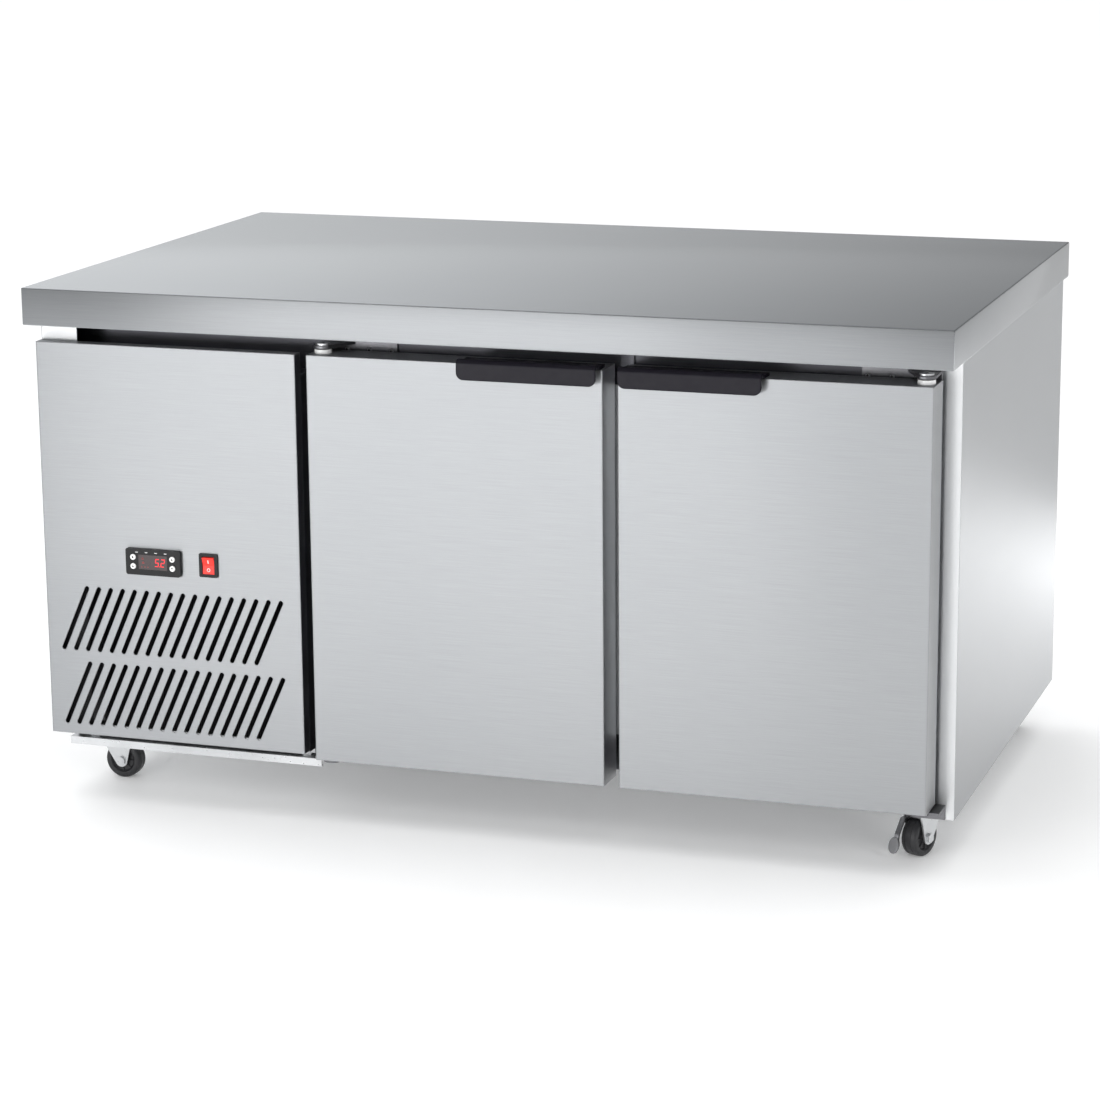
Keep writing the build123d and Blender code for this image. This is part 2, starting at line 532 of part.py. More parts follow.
def evaporator():
    x = (DOOR_SPLIT - EVAPORATOR_WIDTH / 2, DOOR_SPLIT + EVAPORATOR_WIDTH / 2)
    z = EVAPORATOR_Z
    mid_z = (z[0] + z[1]) / 2
    front = EVAPORATOR_FRONT
    coil_y = (BAY_BACK - COIL_DEPTH, BAY_BACK)
    add("evaporator_coil", block((x[0] + 14, x[1] - 14), coil_y, (z[0] + 14, z[1] - 14)))

    wall = COVER_WALL
    inside_x = (x[0] + wall, x[1] - wall)
    cover = block(x, (front, BAY_BACK), z)
    hollow = block(inside_x, (front + wall, BAY_BACK + 1), (z[0] + wall, z[1] - wall))
    mouth = along_y(DOOR_SPLIT, (front - 1, front + 3), mid_z, EVAPORATOR_FAN_RADIUS + 4.0)
    pipes = block((x[0] - 1, x[0] + 3), (PIPE_Y - 10.0, PIPE_Y + 10.0), (PIPE_Z - 10.0, PIPE_Z + 22.0))
    intake = []
    for row in range(5):
        left = x[0] + 20 + row * 34
        intake.append(block((left, left + 24), (300.0, 322.0), (z[0] - 1, z[0] + 3)))
    cover = cover - hollow - mouth - pipes - Compound(intake)
    pan = block((x[0] + 4, x[1] - 4), (front + 4, BAY_BACK), (z[0] - 24.0, z[0] - 1.0))
    tub = block((x[0] + 6, x[1] - 6), (front + 6, BAY_BACK - 2), (z[0] - 22.0, z[0]))
    add("evaporator_housing", Compound([cover, pan - tub]))

    fan("evaporator_fan", DOOR_SPLIT, front + 8.0, mid_z, EVAPORATOR_FAN_RADIUS, 14.0)
    motor = along_y(DOOR_SPLIT, (front + 24.0, coil_y[0] - 0.4), mid_z, 24.0)
    shaft = along_y(DOOR_SPLIT, (front + 13.0, front + 24.0), mid_z, 4.0)
    stay = block(inside_x, (coil_y[0] - 8.0, coil_y[0] - 4.0), (mid_z - 8, mid_z + 8))
    add("evaporator_fan_motor", joined([motor, shaft, stay]))

    guard_y = front - 2.5
    guard = []
    for radius in (22.0, 38.0, 54.0, 70.0):
        guard.append(Plane(origin=(DOOR_SPLIT, guard_y, mid_z), z_dir=(0, 1, 0)) * Torus(radius, 1.3))
    for angle in (45.0, 135.0):
        guard.append(Pos(DOOR_SPLIT, guard_y + 1.4, mid_z) * Rot(0, angle, 0) * Box(156.0, 2.2, 5.0))
    add("evaporator_fan_guard", joined(guard))


# ---------------------------------------------------------------- doors
def handle(x):
    """A pull that caps the door's top front edge; its lip hangs in front of the face."""
    top = DOOR_TOP
    outer = [(PIVOT_Y, top), (PIVOT_Y, top + HANDLE_WALL), (FACE_Y + 2.0, top + HANDLE_WALL),
             (FACE_Y - 6.0, top + HANDLE_RISE), (FACE_Y - HANDLE_REACH + 4.0, top + HANDLE_RISE)]
    lip = [(FACE_Y - HANDLE_REACH, top + HANDLE_RISE - 4.0), (FACE_Y - HANDLE_REACH, top - HANDLE_DROP),
           (FACE_Y - HANDLE_REACH + HANDLE_WALL, top - HANDLE_DROP),
           (FACE_Y - HANDLE_REACH + HANDLE_WALL, top + HANDLE_RISE - HANDLE_WALL - 1.0),
           (FACE_Y - 7.0, top + HANDLE_RISE - HANDLE_WALL), (FACE_Y - 0.5, top)]
    outline = Polyline(*[(y, z) for y, z in outer + lip], close=True)
    plane = Plane(origin=(x[0], 0, 0), x_dir=(0, 1, 0), z_dir=(1, 0, 0))
    bar = extrude(plane * make_face(outline), amount=x[1] - x[0])
    corner = 9.0
    low = top - HANDLE_DROP
    for end, sign in ((x[0], 1.0), (x[1], -1.0)):
        square = block(sorted((end, end + sign * corner)), (FACE_Y - HANDLE_REACH - 1, FACE_Y - 8.0),
                       (low - 1, low + corner))
        post_y = (FACE_Y - HANDLE_REACH - 2, FACE_Y - 7.0)
        round_post = along_y(end + sign * corner, post_y, low + corner, corner)
        bar = bar - (square - round_post)
    return bar


def door(side, x, hinge_x, free_sign):
    z = (DOOR_BOTTOM, DOOR_TOP)
    skin_back = DOOR_BACK - 2.0
    skin = block(x, (FACE_Y, skin_back), z)
    skin = fillet(skin.edges().filter_by(Axis.Z).sort_by(Axis.Y)[:2], 1.2)
    inside_x = (x[0] + SHEET, x[1] - SHEET)
    inside_z = (z[0] + SHEET, z[1] - SHEET)
    hollow = block(inside_x, (FACE_Y + SHEET, skin_back + 1), inside_z)
    top_hole = upright(hinge_x, PIVOT_Y, (z[1] - 3, z[1] + 1), BUSH_SEAT)
    bottom_hole = upright(hinge_x, PIVOT_Y, (z[0] - 1, z[0] + 3), BUSH_SEAT)
    add(side + "_door_skin", skin - hollow - top_hole - bottom_hole)

    core = block(inside_x, (FACE_Y + SHEET, skin_back), inside_z)
    pocket_top = upright(hinge_x, PIVOT_Y, (z[1] - BUSH_DEPTH - 8, z[1] + 1), BUSH_SEAT)
    pocket_bottom = upright(hinge_x, PIVOT_Y, (z[0] - 1, z[0] + BUSH_DEPTH + 8), BUSH_SEAT)
    core = core - pocket_top - pocket_bottom

    liner = block(x, (skin_back, DOOR_BACK), z)
    inset = GASKET_INSET + GASKET_WIDTH + 4.0
    pad = block((x[0] + inset, x[1] - inset), (DOOR_BACK, DOOR_BACK + 7.0), (z[0] + inset, z[1] - inset))
    pad = chamfer(pad.faces().sort_by(Axis.Y)[-1].edges(), 5.0)
    add(side + "_door_liner", liner + pad)
    add(side + "_door_core", core)

    def gasket_block(grow):
        return block((x[0] + grow, x[1] - grow), (DOOR_BACK, GASKET_BACK), (z[0] + grow, z[1] - grow))

    add(side + "_door_gasket", gasket_block(GASKET_INSET) - gasket_block(GASKET_INSET + GASKET_WIDTH))

    bushes = []
    for end, sign, cap_height in ((z[1], 1.0, BUSH_CAP), (z[0], -1.0, 2.0)):
        body = upright(hinge_x, PIVOT_Y, sorted((end, end - sign * BUSH_DEPTH)), BUSH_SEAT - 0.2)
        cap = upright(hinge_x, PIVOT_Y, sorted((end, end + sign * cap_height)), BUSH_SEAT + 2.5)
        bore_z = sorted((end + sign * (cap_height + 1), end - sign * (BUSH_DEPTH + 1)))
        bushes.append(body + cap - upright(hinge_x, PIVOT_Y, bore_z, PIN_RADIUS + RUNNING_GAP))
    add(side + "_hinge_bushes", Compound(bushes))

    if free_sign > 0:
        span = (x[1] - HANDLE_END_GAP - HANDLE_LENGTH, x[1] - HANDLE_END_GAP)
    else:
        span = (x[0] + HANDLE_END_GAP, x[0] + HANDLE_END_GAP + HANDLE_LENGTH)
    add(side + "_handle", handle(span))
    return brackets(hinge_x, free_sign)


def brackets(hinge_x, free_sign):
    """The fixed hinge brackets above and below a door, and the pins and screws that go with them."""
    top_z = DOOR_TOP + BUSH_CAP + 1.5
    plate = HINGE_PLATE
    screwed_y = (BODY_FRONT - 3.0, BODY_FRONT)
    heel = hinge_x - free_sign * 11.0
    flange_x = sorted((heel, hinge_x + free_sign * HINGE_REACH))
    flange = block(flange_x, screwed_y, (DOOR_TOP - 4.0, BODY_TOP - 10.0))
    wedge = Polyline((heel, BODY_FRONT - 3.0), (hinge_x - free_sign * 12.0, PIVOT_Y),
                     (hinge_x + free_sign * 12.0, PIVOT_Y), (hinge_x + free_sign * 30.0, BODY_FRONT - 3.0),
                     close=True)
    tongue = extrude(Plane.XY.offset(top_z) * make_face(wedge), amount=plate)
    nose = upright(hinge_x, PIVOT_Y, (top_z, top_z + plate), 12.0)
    hole = upright(hinge_x, PIVOT_Y, (top_z - 1, top_z + plate + 1), PIN_RADIUS)
    upper = joined([flange, tongue, nose]) - hole
    pin = upright(hinge_x, PIVOT_Y, (DOOR_TOP - 10.0, top_z + plate), PIN_RADIUS)
    upper_pin = pin + upright(hinge_x, PIVOT_Y, (top_z + plate, top_z + plate + 2.5), 9.0)

    low_z = DOOR_BOTTOM - 6.5
    low_level = (low_z, low_z + plate)
    wing = sorted((hinge_x - free_sign * 25.0, hinge_x + free_sign * 12.0))
    tongue = block(wing, (PIVOT_Y, BODY_FRONT), low_level)
    if free_sign > 0:
        # The left one reaches back under the bottom rail; the right one is screwed to the side panel's front.
        fixing_back = -262.0
        fixing = block(wing, (BODY_FRONT, fixing_back), low_level)
        fixing = fixing + block(wing, (BODY_FRONT + 2.0, fixing_back), (low_z, BOX_BOTTOM))
    else:
        fixing = block(wing, screwed_y, (SKIRT_BOTTOM + 1.0, low_level[1]))
    nose = upright(hinge_x, PIVOT_Y, low_level, 12.0)
    hole = upright(hinge_x, PIVOT_Y, (low_z - 1, low_level[1] + 1), PIN_RADIUS)
    lower = joined([tongue, fixing, nose]) - hole
    lower_pin = upright(hinge_x, PIVOT_Y, (low_z, DOOR_BOTTOM + 10.0), PIN_RADIUS)

    hardware = [upper_pin, lower_pin]
    head_y = (screwed_y[0] - HINGE_SCREW_HEAD, screwed_y[0])
    front_half = block(flange_x, head_y, (DOOR_TOP - 4, DOOR_TOP + 4))
    for offset in HINGE_SCREWS:
        head = Pos(hinge_x + free_sign * offset, screwed_y[0], DOOR_TOP) * Sphere(HINGE_SCREW_HEAD)
        hardware.append(head & front_half)
    return [upper, lower], hardware


# ---------------------------------------------------------------- castors
def castor(name, x, y, heading, brake):
    """A swivel castor. heading is the way its wheel trails, in degrees about Z from +X."""
    place = Pos(x, y, 0) * Rot(0, 0, heading)
    trail = CASTOR_TRAIL
    outside = LEG_GAP + LEG_WALL
    crown_z = (CROWN_BOTTOM, CROWN_BOTTOM + 3.0)
    crown_x = (-14.0, trail + 15.0)
    crown = upright(0, 0, crown_z, 19.0) + block(crown_x, (-outside, outside), crown_z)
    pieces = [crown, upright(0, 0, (crown_z[1], PLATE_TOP - 3.4), 14.0)]
    leg_top = Polyline((crown_x[0], crown_z[1]), (crown_x[1], crown_z[1]), (crown_x[1], crown_z[0] - 5),
                       (crown_x[0], crown_z[0] - 5), close=True)
    leg_outline = make_hull([*CenterArc((trail, WHEEL_RADIUS), 8.5, 0, 360).edges(), *leg_top.edges()])
    for wall_y in (-LEG_GAP, outside):
        plane = Plane(origin=(0, wall_y, 0), x_dir=(1, 0, 0), z_dir=(0, -1, 0))
        pieces.append(extrude(plane * leg_outline, amount=LEG_WALL))
    if brake:
        pieces.append(along_y(BRAKE_PIVOT[0], (-LEG_GAP, LEG_GAP), BRAKE_PIVOT[1], BRAKE_PIN))
    fork = joined(pieces) - along_y(trail, (-30, 30), WHEEL_RADIUS, AXLE_RADIUS)
    bolt = [along_y(trail, (-outside, outside), WHEEL_RADIUS, AXLE_RADIUS)]
    for sign in (-1.0, 1.0):
        plane = Plane(origin=(trail, sign * outside, WHEEL_RADIUS), z_dir=(0, sign, 0))
        bolt.append(extrude(plane * RegularPolygon(6.2, 6), amount=3.4))
    add(name + "_fork", Compound([place * fork, place * joined(bolt)]))

    half = WHEEL_WIDTH / 2
    wheel = along_y(trail, (-half, half), WHEEL_RADIUS, WHEEL_RADIUS)
    wheel = fillet(wheel.edges().filter_by(GeomType.CIRCLE), 4.0)
    for sign in (-1.0, 1.0):
        dish = along_y(trail, sorted((sign * (half - 2.0), sign * (half + 1.0))), WHEEL_RADIUS, 16.0)
        hub = along_y(trail, sorted((sign * (half - 3.0), sign * (half + 1.0))), WHEEL_RADIUS, 8.0)
        wheel = wheel - dish + hub
    add(name + "_wheel", place * (wheel - along_y(trail, (-20, 20), WHEEL_RADIUS, AXLE_RADIUS + RUNNING_GAP)))
    if brake:
        add(name + "_brake", place * brake_pedal())
    plate = block((-30, 30), (-22, 22), (PLATE_TOP - 3.0, PLATE_TOP))
    plate = fillet(plate.edges().filter_by(Axis.Z), 5.0)
    bolts = []
    for bx in (-22.0, 22.0):
        for by in (-15.0, 15.0):
            head = Plane(origin=(bx, by, PLATE_TOP - 3.0), z_dir=(0, 0, -1)) * RegularPolygon(5.5, 6)
            bolts.append(extrude(head, amount=3.8))
    return Pos(x, y, 0) * plate, [Pos(x, y, 0) * bolt for bolt in bolts]


def brake_pedal():
    """A foot pedal on a pin between the fork's legs, low on the wheel, with an oval pad at its tip."""
    px, pz = BRAKE_PIVOT
    reach = LEG_GAP - 0.4
    barrel = along_y(px, (-reach, reach), pz, 2.7)
    tip_x, tip_y, tip_z = BRAKE_PAD
    outline = [(px, pz - 0.5), (px + 12.0, pz - 1.5), (tip_x - 4.0, tip_z + 14.0), (tip_x - 1.0, tip_z),
               (tip_x - 3.4, tip_z), (tip_x - 6.4, tip_z + 13.0), (px + 10.6, pz - 4.0), (px, pz - 2.6)]
    profile = Polyline(*outline, close=True)
    arm_y = -5.8
    plane = Plane(origin=(0, arm_y, 0), x_dir=(1, 0, 0), z_dir=(0, -1, 0))
    arm = extrude(plane * make_face(profile), amount=reach + arm_y)
    face = Plane(origin=(tip_x - 2.4, tip_y, tip_z), x_dir=(0, 1, 0), z_dir=(0.94, 0, 0.34))
    pad = extrude(face * Ellipse(7.5, 10.5), amount=3.4)
    pad = fillet(pad.edges(), 1.0)
    return joined([barrel, arm, pad]) - along_y(px, (-20, 20), pz, BRAKE_PIN + RUNNING_GAP)


def castors():
    plates = []
    bolts = []
    for name, x, y, heading in CASTORS:
        plate, heads = castor(name, x, y, heading, brake=name == "front_right_castor")
        plates.append(plate)
        bolts.extend(heads)
    add("castor_plates", Compound(plates))
    return bolts


def build():
    worktop()
    side_panels()
    outer_panels()
    cold_box()
    shelves()
    front_panel()
    controller()
    switch()
    base()
    condenser()
    compressor()
    refrigerant_lines()
    evaporator()
    left_x = (DOOR_SPLIT - DOOR_GAP / 2 - DOOR_WIDTH, DOOR_SPLIT - DOOR_GAP / 2)
    right_x = (DOOR_SPLIT + DOOR_GAP / 2, DOOR_SPLIT + DOOR_GAP / 2 + DOOR_WIDTH)
    hinge_plates = []
    hardware = castors()
    for side, x, hinge_x, free_sign in (("left", left_x, left_x[0] + PIVOT_INSET, 1.0),
                                        ("right", right_x, right_x[1] - PIVOT_INSET, -1.0)):
        plates, heads = door(side, x, hinge_x, free_sign)
        hinge_plates.extend(plates)
        hardware.extend(heads)
    add("hinge_brackets", Compound(hinge_plates))
    add("fasteners", Compound(hardware))


build()
os.makedirs("parts", exist_ok=True)
for old in os.listdir("parts"):
    os.remove(os.path.join("parts", old))
for node, shape in parts.items():
    export_step(shape, os.path.join("parts", node + ".step"))
print(len(parts), "nodes")
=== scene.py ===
import bpy
import bmesh
import json
import math
from mathutils import Matrix, Vector


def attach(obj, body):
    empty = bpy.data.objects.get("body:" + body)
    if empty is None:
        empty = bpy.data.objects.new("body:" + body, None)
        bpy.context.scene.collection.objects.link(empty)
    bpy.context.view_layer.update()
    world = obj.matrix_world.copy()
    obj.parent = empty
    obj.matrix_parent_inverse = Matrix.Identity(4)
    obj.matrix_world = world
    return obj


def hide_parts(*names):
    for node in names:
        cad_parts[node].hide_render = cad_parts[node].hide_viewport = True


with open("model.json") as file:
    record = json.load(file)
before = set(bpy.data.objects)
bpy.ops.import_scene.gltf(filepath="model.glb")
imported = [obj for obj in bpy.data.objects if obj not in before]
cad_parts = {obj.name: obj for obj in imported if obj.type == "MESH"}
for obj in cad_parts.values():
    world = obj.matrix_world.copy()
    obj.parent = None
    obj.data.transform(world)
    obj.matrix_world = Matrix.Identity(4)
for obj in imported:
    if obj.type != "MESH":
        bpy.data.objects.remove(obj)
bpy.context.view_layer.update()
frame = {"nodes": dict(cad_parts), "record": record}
MM = 0.001


# ---------------------------------------------------------------- shader helpers
class Shader:
    """A material's node tree, with short calls for the nodes that every material here needs."""

    def __init__(self, name):
        self.material = bpy.data.materials.new(name)
        self.material.use_nodes = True
        self.tree = self.material.node_tree
        self.tree.nodes.clear()
        self.out = self.node("ShaderNodeOutputMaterial")
        self.surface = self.node("ShaderNodeBsdfPrincipled")
        self.link(self.surface, "BSDF", self.out, "Surface")
        self.place = self.node("ShaderNodeTexCoord")

    def node(self, kind, **values):
        made = self.tree.nodes.new(kind)
        for key, value in values.items():
            setattr(made, key, value)
        return made

    def link(self, source, output, target, entry):
        self.tree.links.new(source.outputs[output], target.inputs[entry])

    def stretched(self, scale):
        """Object coordinates in metres, times a scale along each axis."""
        mapping = self.node("ShaderNodeMapping")
        mapping.inputs["Scale"].default_value = scale
        self.link(self.place, "Object", mapping, "Vector")
        return mapping

    def noise(self, scale, detail=3.0, roughness=0.5, stretch=(1, 1, 1)):
        made = self.node("ShaderNodeTexNoise")
        made.inputs["Scale"].default_value = scale
        made.inputs["Detail"].default_value = detail
        made.inputs["Roughness"].default_value = roughness
        self.link(self.stretched(stretch), "Vector", made, "Vector")
        return made

    def ramp(self, source, output, low, high, start=0.3, end=0.7):
        """Turns a grey value between start and end into a colour between low and high."""
        made = self.node("ShaderNodeValToRGB")
        made.color_ramp.elements[0].position = start
        made.color_ramp.elements[1].position = end
        made.color_ramp.elements[0].color = (*low, 1)
        made.color_ramp.elements[1].color = (*high, 1)
        self.link(source, output, made, "Fac")
        return made

    def span(self, source, output, low, high, start=0.3, end=0.7):
        """Turns a grey value between start and end into a number between low and high."""
        made = self.node("ShaderNodeMapRange")
        made.inputs["From Min"].default_value = start
        made.inputs["From Max"].default_value = end
        made.inputs["To Min"].default_value = low
        made.inputs["To Max"].default_value = high
        self.link(source, output, made, "Value")
        return made

    def bump(self, source, output, strength, distance, rounding=0.0):
        """Fine relief; rounding also catches light on sharp corners, as a real edge of that radius does."""
        made = self.node("ShaderNodeBump")
        made.inputs["Strength"].default_value = strength
        made.inputs["Distance"].default_value = distance
        self.link(source, output, made, "Height")
        if rounding:
            corner = self.node("ShaderNodeBevel", samples=6)
            corner.inputs["Radius"].default_value = rounding
            self.link(corner, "Normal", made, "Normal")
        self.link(made, "Normal", self.surface, "Normal")

    def painted_flange_highlight(self, sheet, smudge, axis, share):
        """The sheet's colour, with a share of the flange colours where a face looks along the axis: painted
        highlight.
        """
        facing = self.node("ShaderNodeSeparateXYZ")
        self.link(self.place, "Normal", facing, "Vector")
        square = self.node("ShaderNodeMath", operation="ABSOLUTE")
        self.link(facing, axis, square, 0)
        flange = self.span(square, "Value", 0.0, 1.0, 0.6, 0.9)
        mix = self.node("ShaderNodeMixRGB")
        self.link(flange, "Result", mix, "Fac")
        self.link(sheet, "Color", mix, "Color1")
        flange_highlight_tones = [[share * channel for channel in tone] for tone in (FLANGE_HIGHLIGHT_DARK, FLANGE_HIGHLIGHT_LIGHT)]
        self.link(self.ramp(smudge, "Fac", *flange_highlight_tones), "Color", mix, "Color2")
        return mix

    def put(self, **values):
        """Sets values on the shader's own sockets; an underscore stands for a space in a socket's name."""
        for key, value in values.items():
            self.surface.inputs[key.replace("_", " ")].default_value = value


WHITE = (1.0, 1.0, 1.0)
SMUDGE_TINT = (0.965, 0.968, 0.972)
# Painted highlight: the colours that folded flanges are lightened towards.
FLANGE_HIGHLIGHT_LIGHT = (0.90, 0.91, 0.92)
FLANGE_HIGHLIGHT_DARK = (0.82, 0.83, 0.84)
# How many times finer the streaks are across the grain than along it.
GRAIN_FINENESS = 90.0
# Along the grain; the small second part is its direction once the sheet is folded round a corner.
GRAIN = {"X": (1.0, 0.15, 0.0), "Y": (0.15, 1.0, 0.0), "Z": (0.0, 0.15, 1.0)}


def brushed_steel(name, grain, dark, light, rough=(0.36, 0.42), stretch=0.9, folded=None):
    """Stainless sheet with a brushed grain along one axis: it blurs reflections across the grain most.

    Flanges that face along another axis are lightened, a painted highlight for the light they catch: folded
    is that axis and their share of the flange colours.
    """
    s = Shader(name)
    fine = [1.0 if axis == grain else GRAIN_FINENESS for axis in "XYZ"]
    streaks = s.noise(14.0, detail=4.0, roughness=0.65, stretch=fine)
    smudge = s.noise(2.3, detail=3.0)
    tone = s.ramp(streaks, "Fac", dark, light, 0.25, 0.75)
    sheet = s.node("ShaderNodeMixRGB", blend_type="MULTIPLY")
    sheet.inputs["Fac"].default_value = 1.0
    cloud = s.ramp(smudge, "Fac", SMUDGE_TINT, WHITE, 0.35, 0.65)
    s.link(tone, "Color", sheet, "Color1")
    s.link(cloud, "Color", sheet, "Color2")
    if folded:
        sheet = s.painted_flange_highlight(sheet, smudge, *folded)
    s.link(sheet, "Color", s.surface, "Base Color")
    grit = s.span(streaks, "Fac", rough[0], rough[1])
    s.link(grit, "Result", s.surface, "Roughness")
    s.bump(streaks, "Fac", 0.04, 0.0003, 0.0016)
    along = s.node("ShaderNodeVectorTransform", vector_type="VECTOR", convert_from="OBJECT",
                   convert_to="WORLD")
    along.inputs["Vector"].default_value = GRAIN[grain]
    s.link(along, "Vector", s.surface, "Tangent")
    s.put(Metallic=1.0, Anisotropic=stretch, Anisotropic_Rotation=0.25)
    return s.material


def glowing(name, colour, strength):
    """A lit display mark: its colour varies slightly across it."""
    s = Shader(name)
    tone = s.ramp(s.noise(900.0), "Fac", [0.8 * value for value in colour], colour)
    s.link(tone, "Color", s.surface, "Base Color")
    s.link(tone, "Color", s.surface, "Emission Color")
    s.put(Emission_Strength=strength, Roughness=0.4)
    return s.material


def galvanised(name):
    """Zinc-coated sheet with its spangle."""
    s = Shader(name)
    spangle = s.node("ShaderNodeTexVoronoi")
    spangle.inputs["Scale"].default_value = 150.0
    s.link(s.stretched((1, 1, 1)), "Vector", spangle, "Vector")
    tone = s.ramp(spangle, "Color", (0.46, 0.47, 0.48), (0.55, 0.56, 0.57), 0.0, 1.0)
    s.link(tone, "Color", s.surface, "Base Color")
    grit = s.span(spangle, "Color", 0.34, 0.52, 0.0, 1.0)
    s.link(grit, "Result", s.surface, "Roughness")
    s.bump(s.noise(60.0), "Fac", 0.08, 0.0006)
    s.put(Metallic=0.85)
    return s.material


def cast_or_painted(name, low, high, rough=(0.35, 0.5), metallic=0.0, scale=160.0, bump=0.15, coat=0.0,
                    rounding=0.0, specular=0.5):
    """A grained coat: moulded plastic, powder paint or plating, by its numbers."""
    s = Shader(name)
    grain = s.noise(scale, detail=4.0)
    cloud = s.noise(9.0, detail=2.0)
    tone = s.ramp(cloud, "Fac", low, high)
    s.link(tone, "Color", s.surface, "Base Color")
    grit = s.span(grain, "Fac", rough[0], rough[1])
    s.link(grit, "Result", s.surface, "Roughness")
    s.bump(grain, "Fac", bump, 0.0003, rounding)
    s.put(Metallic=metallic, Coat_Weight=coat, Specular_IOR_Level=specular)
    return s.material


# Painted shade: the front, side and worktop-edge steels are darker copies of the top's and inside's steel.
STEEL_LIGHT = (0.570, 0.583, 0.597)
STEEL_DARK = (0.500, 0.510, 0.523)
EDGE_SHADE_LIGHT = (0.370, 0.379, 0.390)
EDGE_SHADE_DARK = (0.320, 0.328, 0.338)
SIDE_SHADE_LIGHT = (0.430, 0.440, 0.452)
SIDE_SHADE_DARK = (0.375, 0.383, 0.393)
FRONT_SHADE_LIGHT = (0.405, 0.414, 0.425)
FRONT_SHADE_DARK = (0.345, 0.353, 0.364)
# Painted shadow: the door frame's stainless, deep in the recess under the worktop, is coloured dark.
RECESS_SHADOW_LIGHT = (0.17, 0.17, 0.185)
RECESS_SHADOW_DARK = (0.12, 0.12, 0.135)
materials = {
    "steel_x": brushed_steel("steel_x", "X", FRONT_SHADE_DARK, FRONT_SHADE_LIGHT),
    # The side panels' front and back returns and the doors' side faces are lightened: painted highlight.
    "steel_y": brushed_steel("steel_y", "Y", SIDE_SHADE_DARK, SIDE_SHADE_LIGHT, folded=("Y", 0.85)),
    "door_steel": brushed_steel("door_steel", "X", FRONT_SHADE_DARK, FRONT_SHADE_LIGHT, folded=("X", 0.65)),
    "worktop_steel": brushed_steel("worktop_steel", "X", STEEL_DARK, STEEL_LIGHT, (0.20, 0.26), 0.35),
    "edge_shade_steel": brushed_steel("edge_shade_steel", "X", EDGE_SHADE_DARK, EDGE_SHADE_LIGHT),
    "recess_shadow_steel": brushed_steel("recess_shadow_steel", "X", RECESS_SHADOW_DARK, RECESS_SHADOW_LIGHT, (0.4, 0.5)),
    "steel_z": brushed_steel("steel_z", "Z", STEEL_DARK, STEEL_LIGHT),
    "galvanised": galvanised("galvanised"),
    "handle": cast_or_painted("handle_black", (0.005, 0.004, 0.008), (0.008, 0.007, 0.011), (0.42, 0.52),
                              rounding=0.003, specular=0.2),
    "black_plastic": cast_or_painted("black_plastic", (0.003, 0.003, 0.0035), (0.006, 0.006, 0.007),
                                     specular=0.35),
    "dark_steel": cast_or_painted("dark_steel", (0.02, 0.02, 0.023), (0.035, 0.035, 0.04), (0.3, 0.5)),
    "zinc": cast_or_painted("zinc", (0.55, 0.56, 0.57), (0.72, 0.73, 0.74), (0.25, 0.45), 0.95, 220.0, 0.1),
    "hinge_steel": cast_or_painted("hinge_steel", (0.15, 0.15, 0.16), (0.21, 0.21, 0.22), (0.3, 0.45),
                                   0.95, 220.0, 0.1, rounding=0.001),
    # The brake pedal's zinc: rougher, and darkened for the shade it sits in (painted shade).
    "dull_shaded_zinc": cast_or_painted("dull_shaded_zinc", (0.20, 0.20, 0.21), (0.34, 0.34, 0.35), (0.3, 0.5),
                                 0.95, 260.0, 0.3),
    "wire": cast_or_painted("shelf_wire", (0.72, 0.73, 0.74), (0.82, 0.83, 0.84), (0.12, 0.22),
                            1.0, 300.0, 0.05),
    "rubber": cast_or_painted("seal_rubber", (0.03, 0.03, 0.033), (0.05, 0.05, 0.053), (0.55, 0.75),
                              0.0, 240.0, 0.2),
    "tread": cast_or_painted("tread", (0.014, 0.014, 0.016), (0.024, 0.024, 0.026), (0.38, 0.55),
                             0.0, 260.0, 0.2),
    "bush": cast_or_painted("bush_white", (0.80, 0.80, 0.79), (0.88, 0.88, 0.87), (0.3, 0.4),
                            0.0, 200.0, 0.05),
    "button": cast_or_painted("button_grey", (0.78, 0.78, 0.77), (0.86, 0.86, 0.85), (0.4, 0.5),
                              0.0, 400.0, 0.1),
    "red": glowing("red_lens", (0.80, 0.022, 0.012), 0.30),
    "window": cast_or_painted("display_window", (0.012, 0.002, 0.003), (0.02, 0.003, 0.004), (0.08, 0.15),
                              0.0, 90.0, 0.0, 1.0),
    "coil": cast_or_painted("coil_metal", (0.5, 0.51, 0.52), (0.66, 0.67, 0.68), (0.3, 0.5), 0.9, 400.0, 0.3),
    "copper": cast_or_painted("copper", (0.62, 0.28, 0.16), (0.76, 0.40, 0.25), (0.25, 0.4), 1.0, 120.0, 0.1),
    "fan": cast_or_painted("fan_plastic", (0.03, 0.03, 0.033), (0.045, 0.045, 0.05), (0.4, 0.5)),
    # Partly black paint and partly painted shade: condenser, baffle and tape show through the slots as dark
    # as shade.
    "black_paint_and_shade": cast_or_painted("black_paint_and_shade", (0.006, 0.006, 0.007), (0.012, 0.012, 0.013), (0.5, 0.6)),
    "sealed_board": cast_or_painted("sealed_board", (0.20, 0.20, 0.21), (0.27, 0.27, 0.28), (0.6, 0.8),
                                    0.0, 70.0, 0.3),
    "print_white": cast_or_painted("print_white", (0.62, 0.62, 0.62), (0.75, 0.75, 0.75), (0.5, 0.6)),
    "lit_red": glowing("lit_red", (0.75, 0.02, 0.03), 0.75),
    "lit_dim": glowing("lit_dim", (0.20, 0.03, 0.03), 0.4),
    "foam": cast_or_painted("foam", (0.72, 0.66, 0.45), (0.84, 0.78, 0.58), (0.8, 0.95), 0.0, 90.0, 0.5),
    "board": cast_or_painted("board", (0.42, 0.30, 0.19), (0.55, 0.41, 0.27), (0.7, 0.9), 0.0, 70.0, 0.4),
}
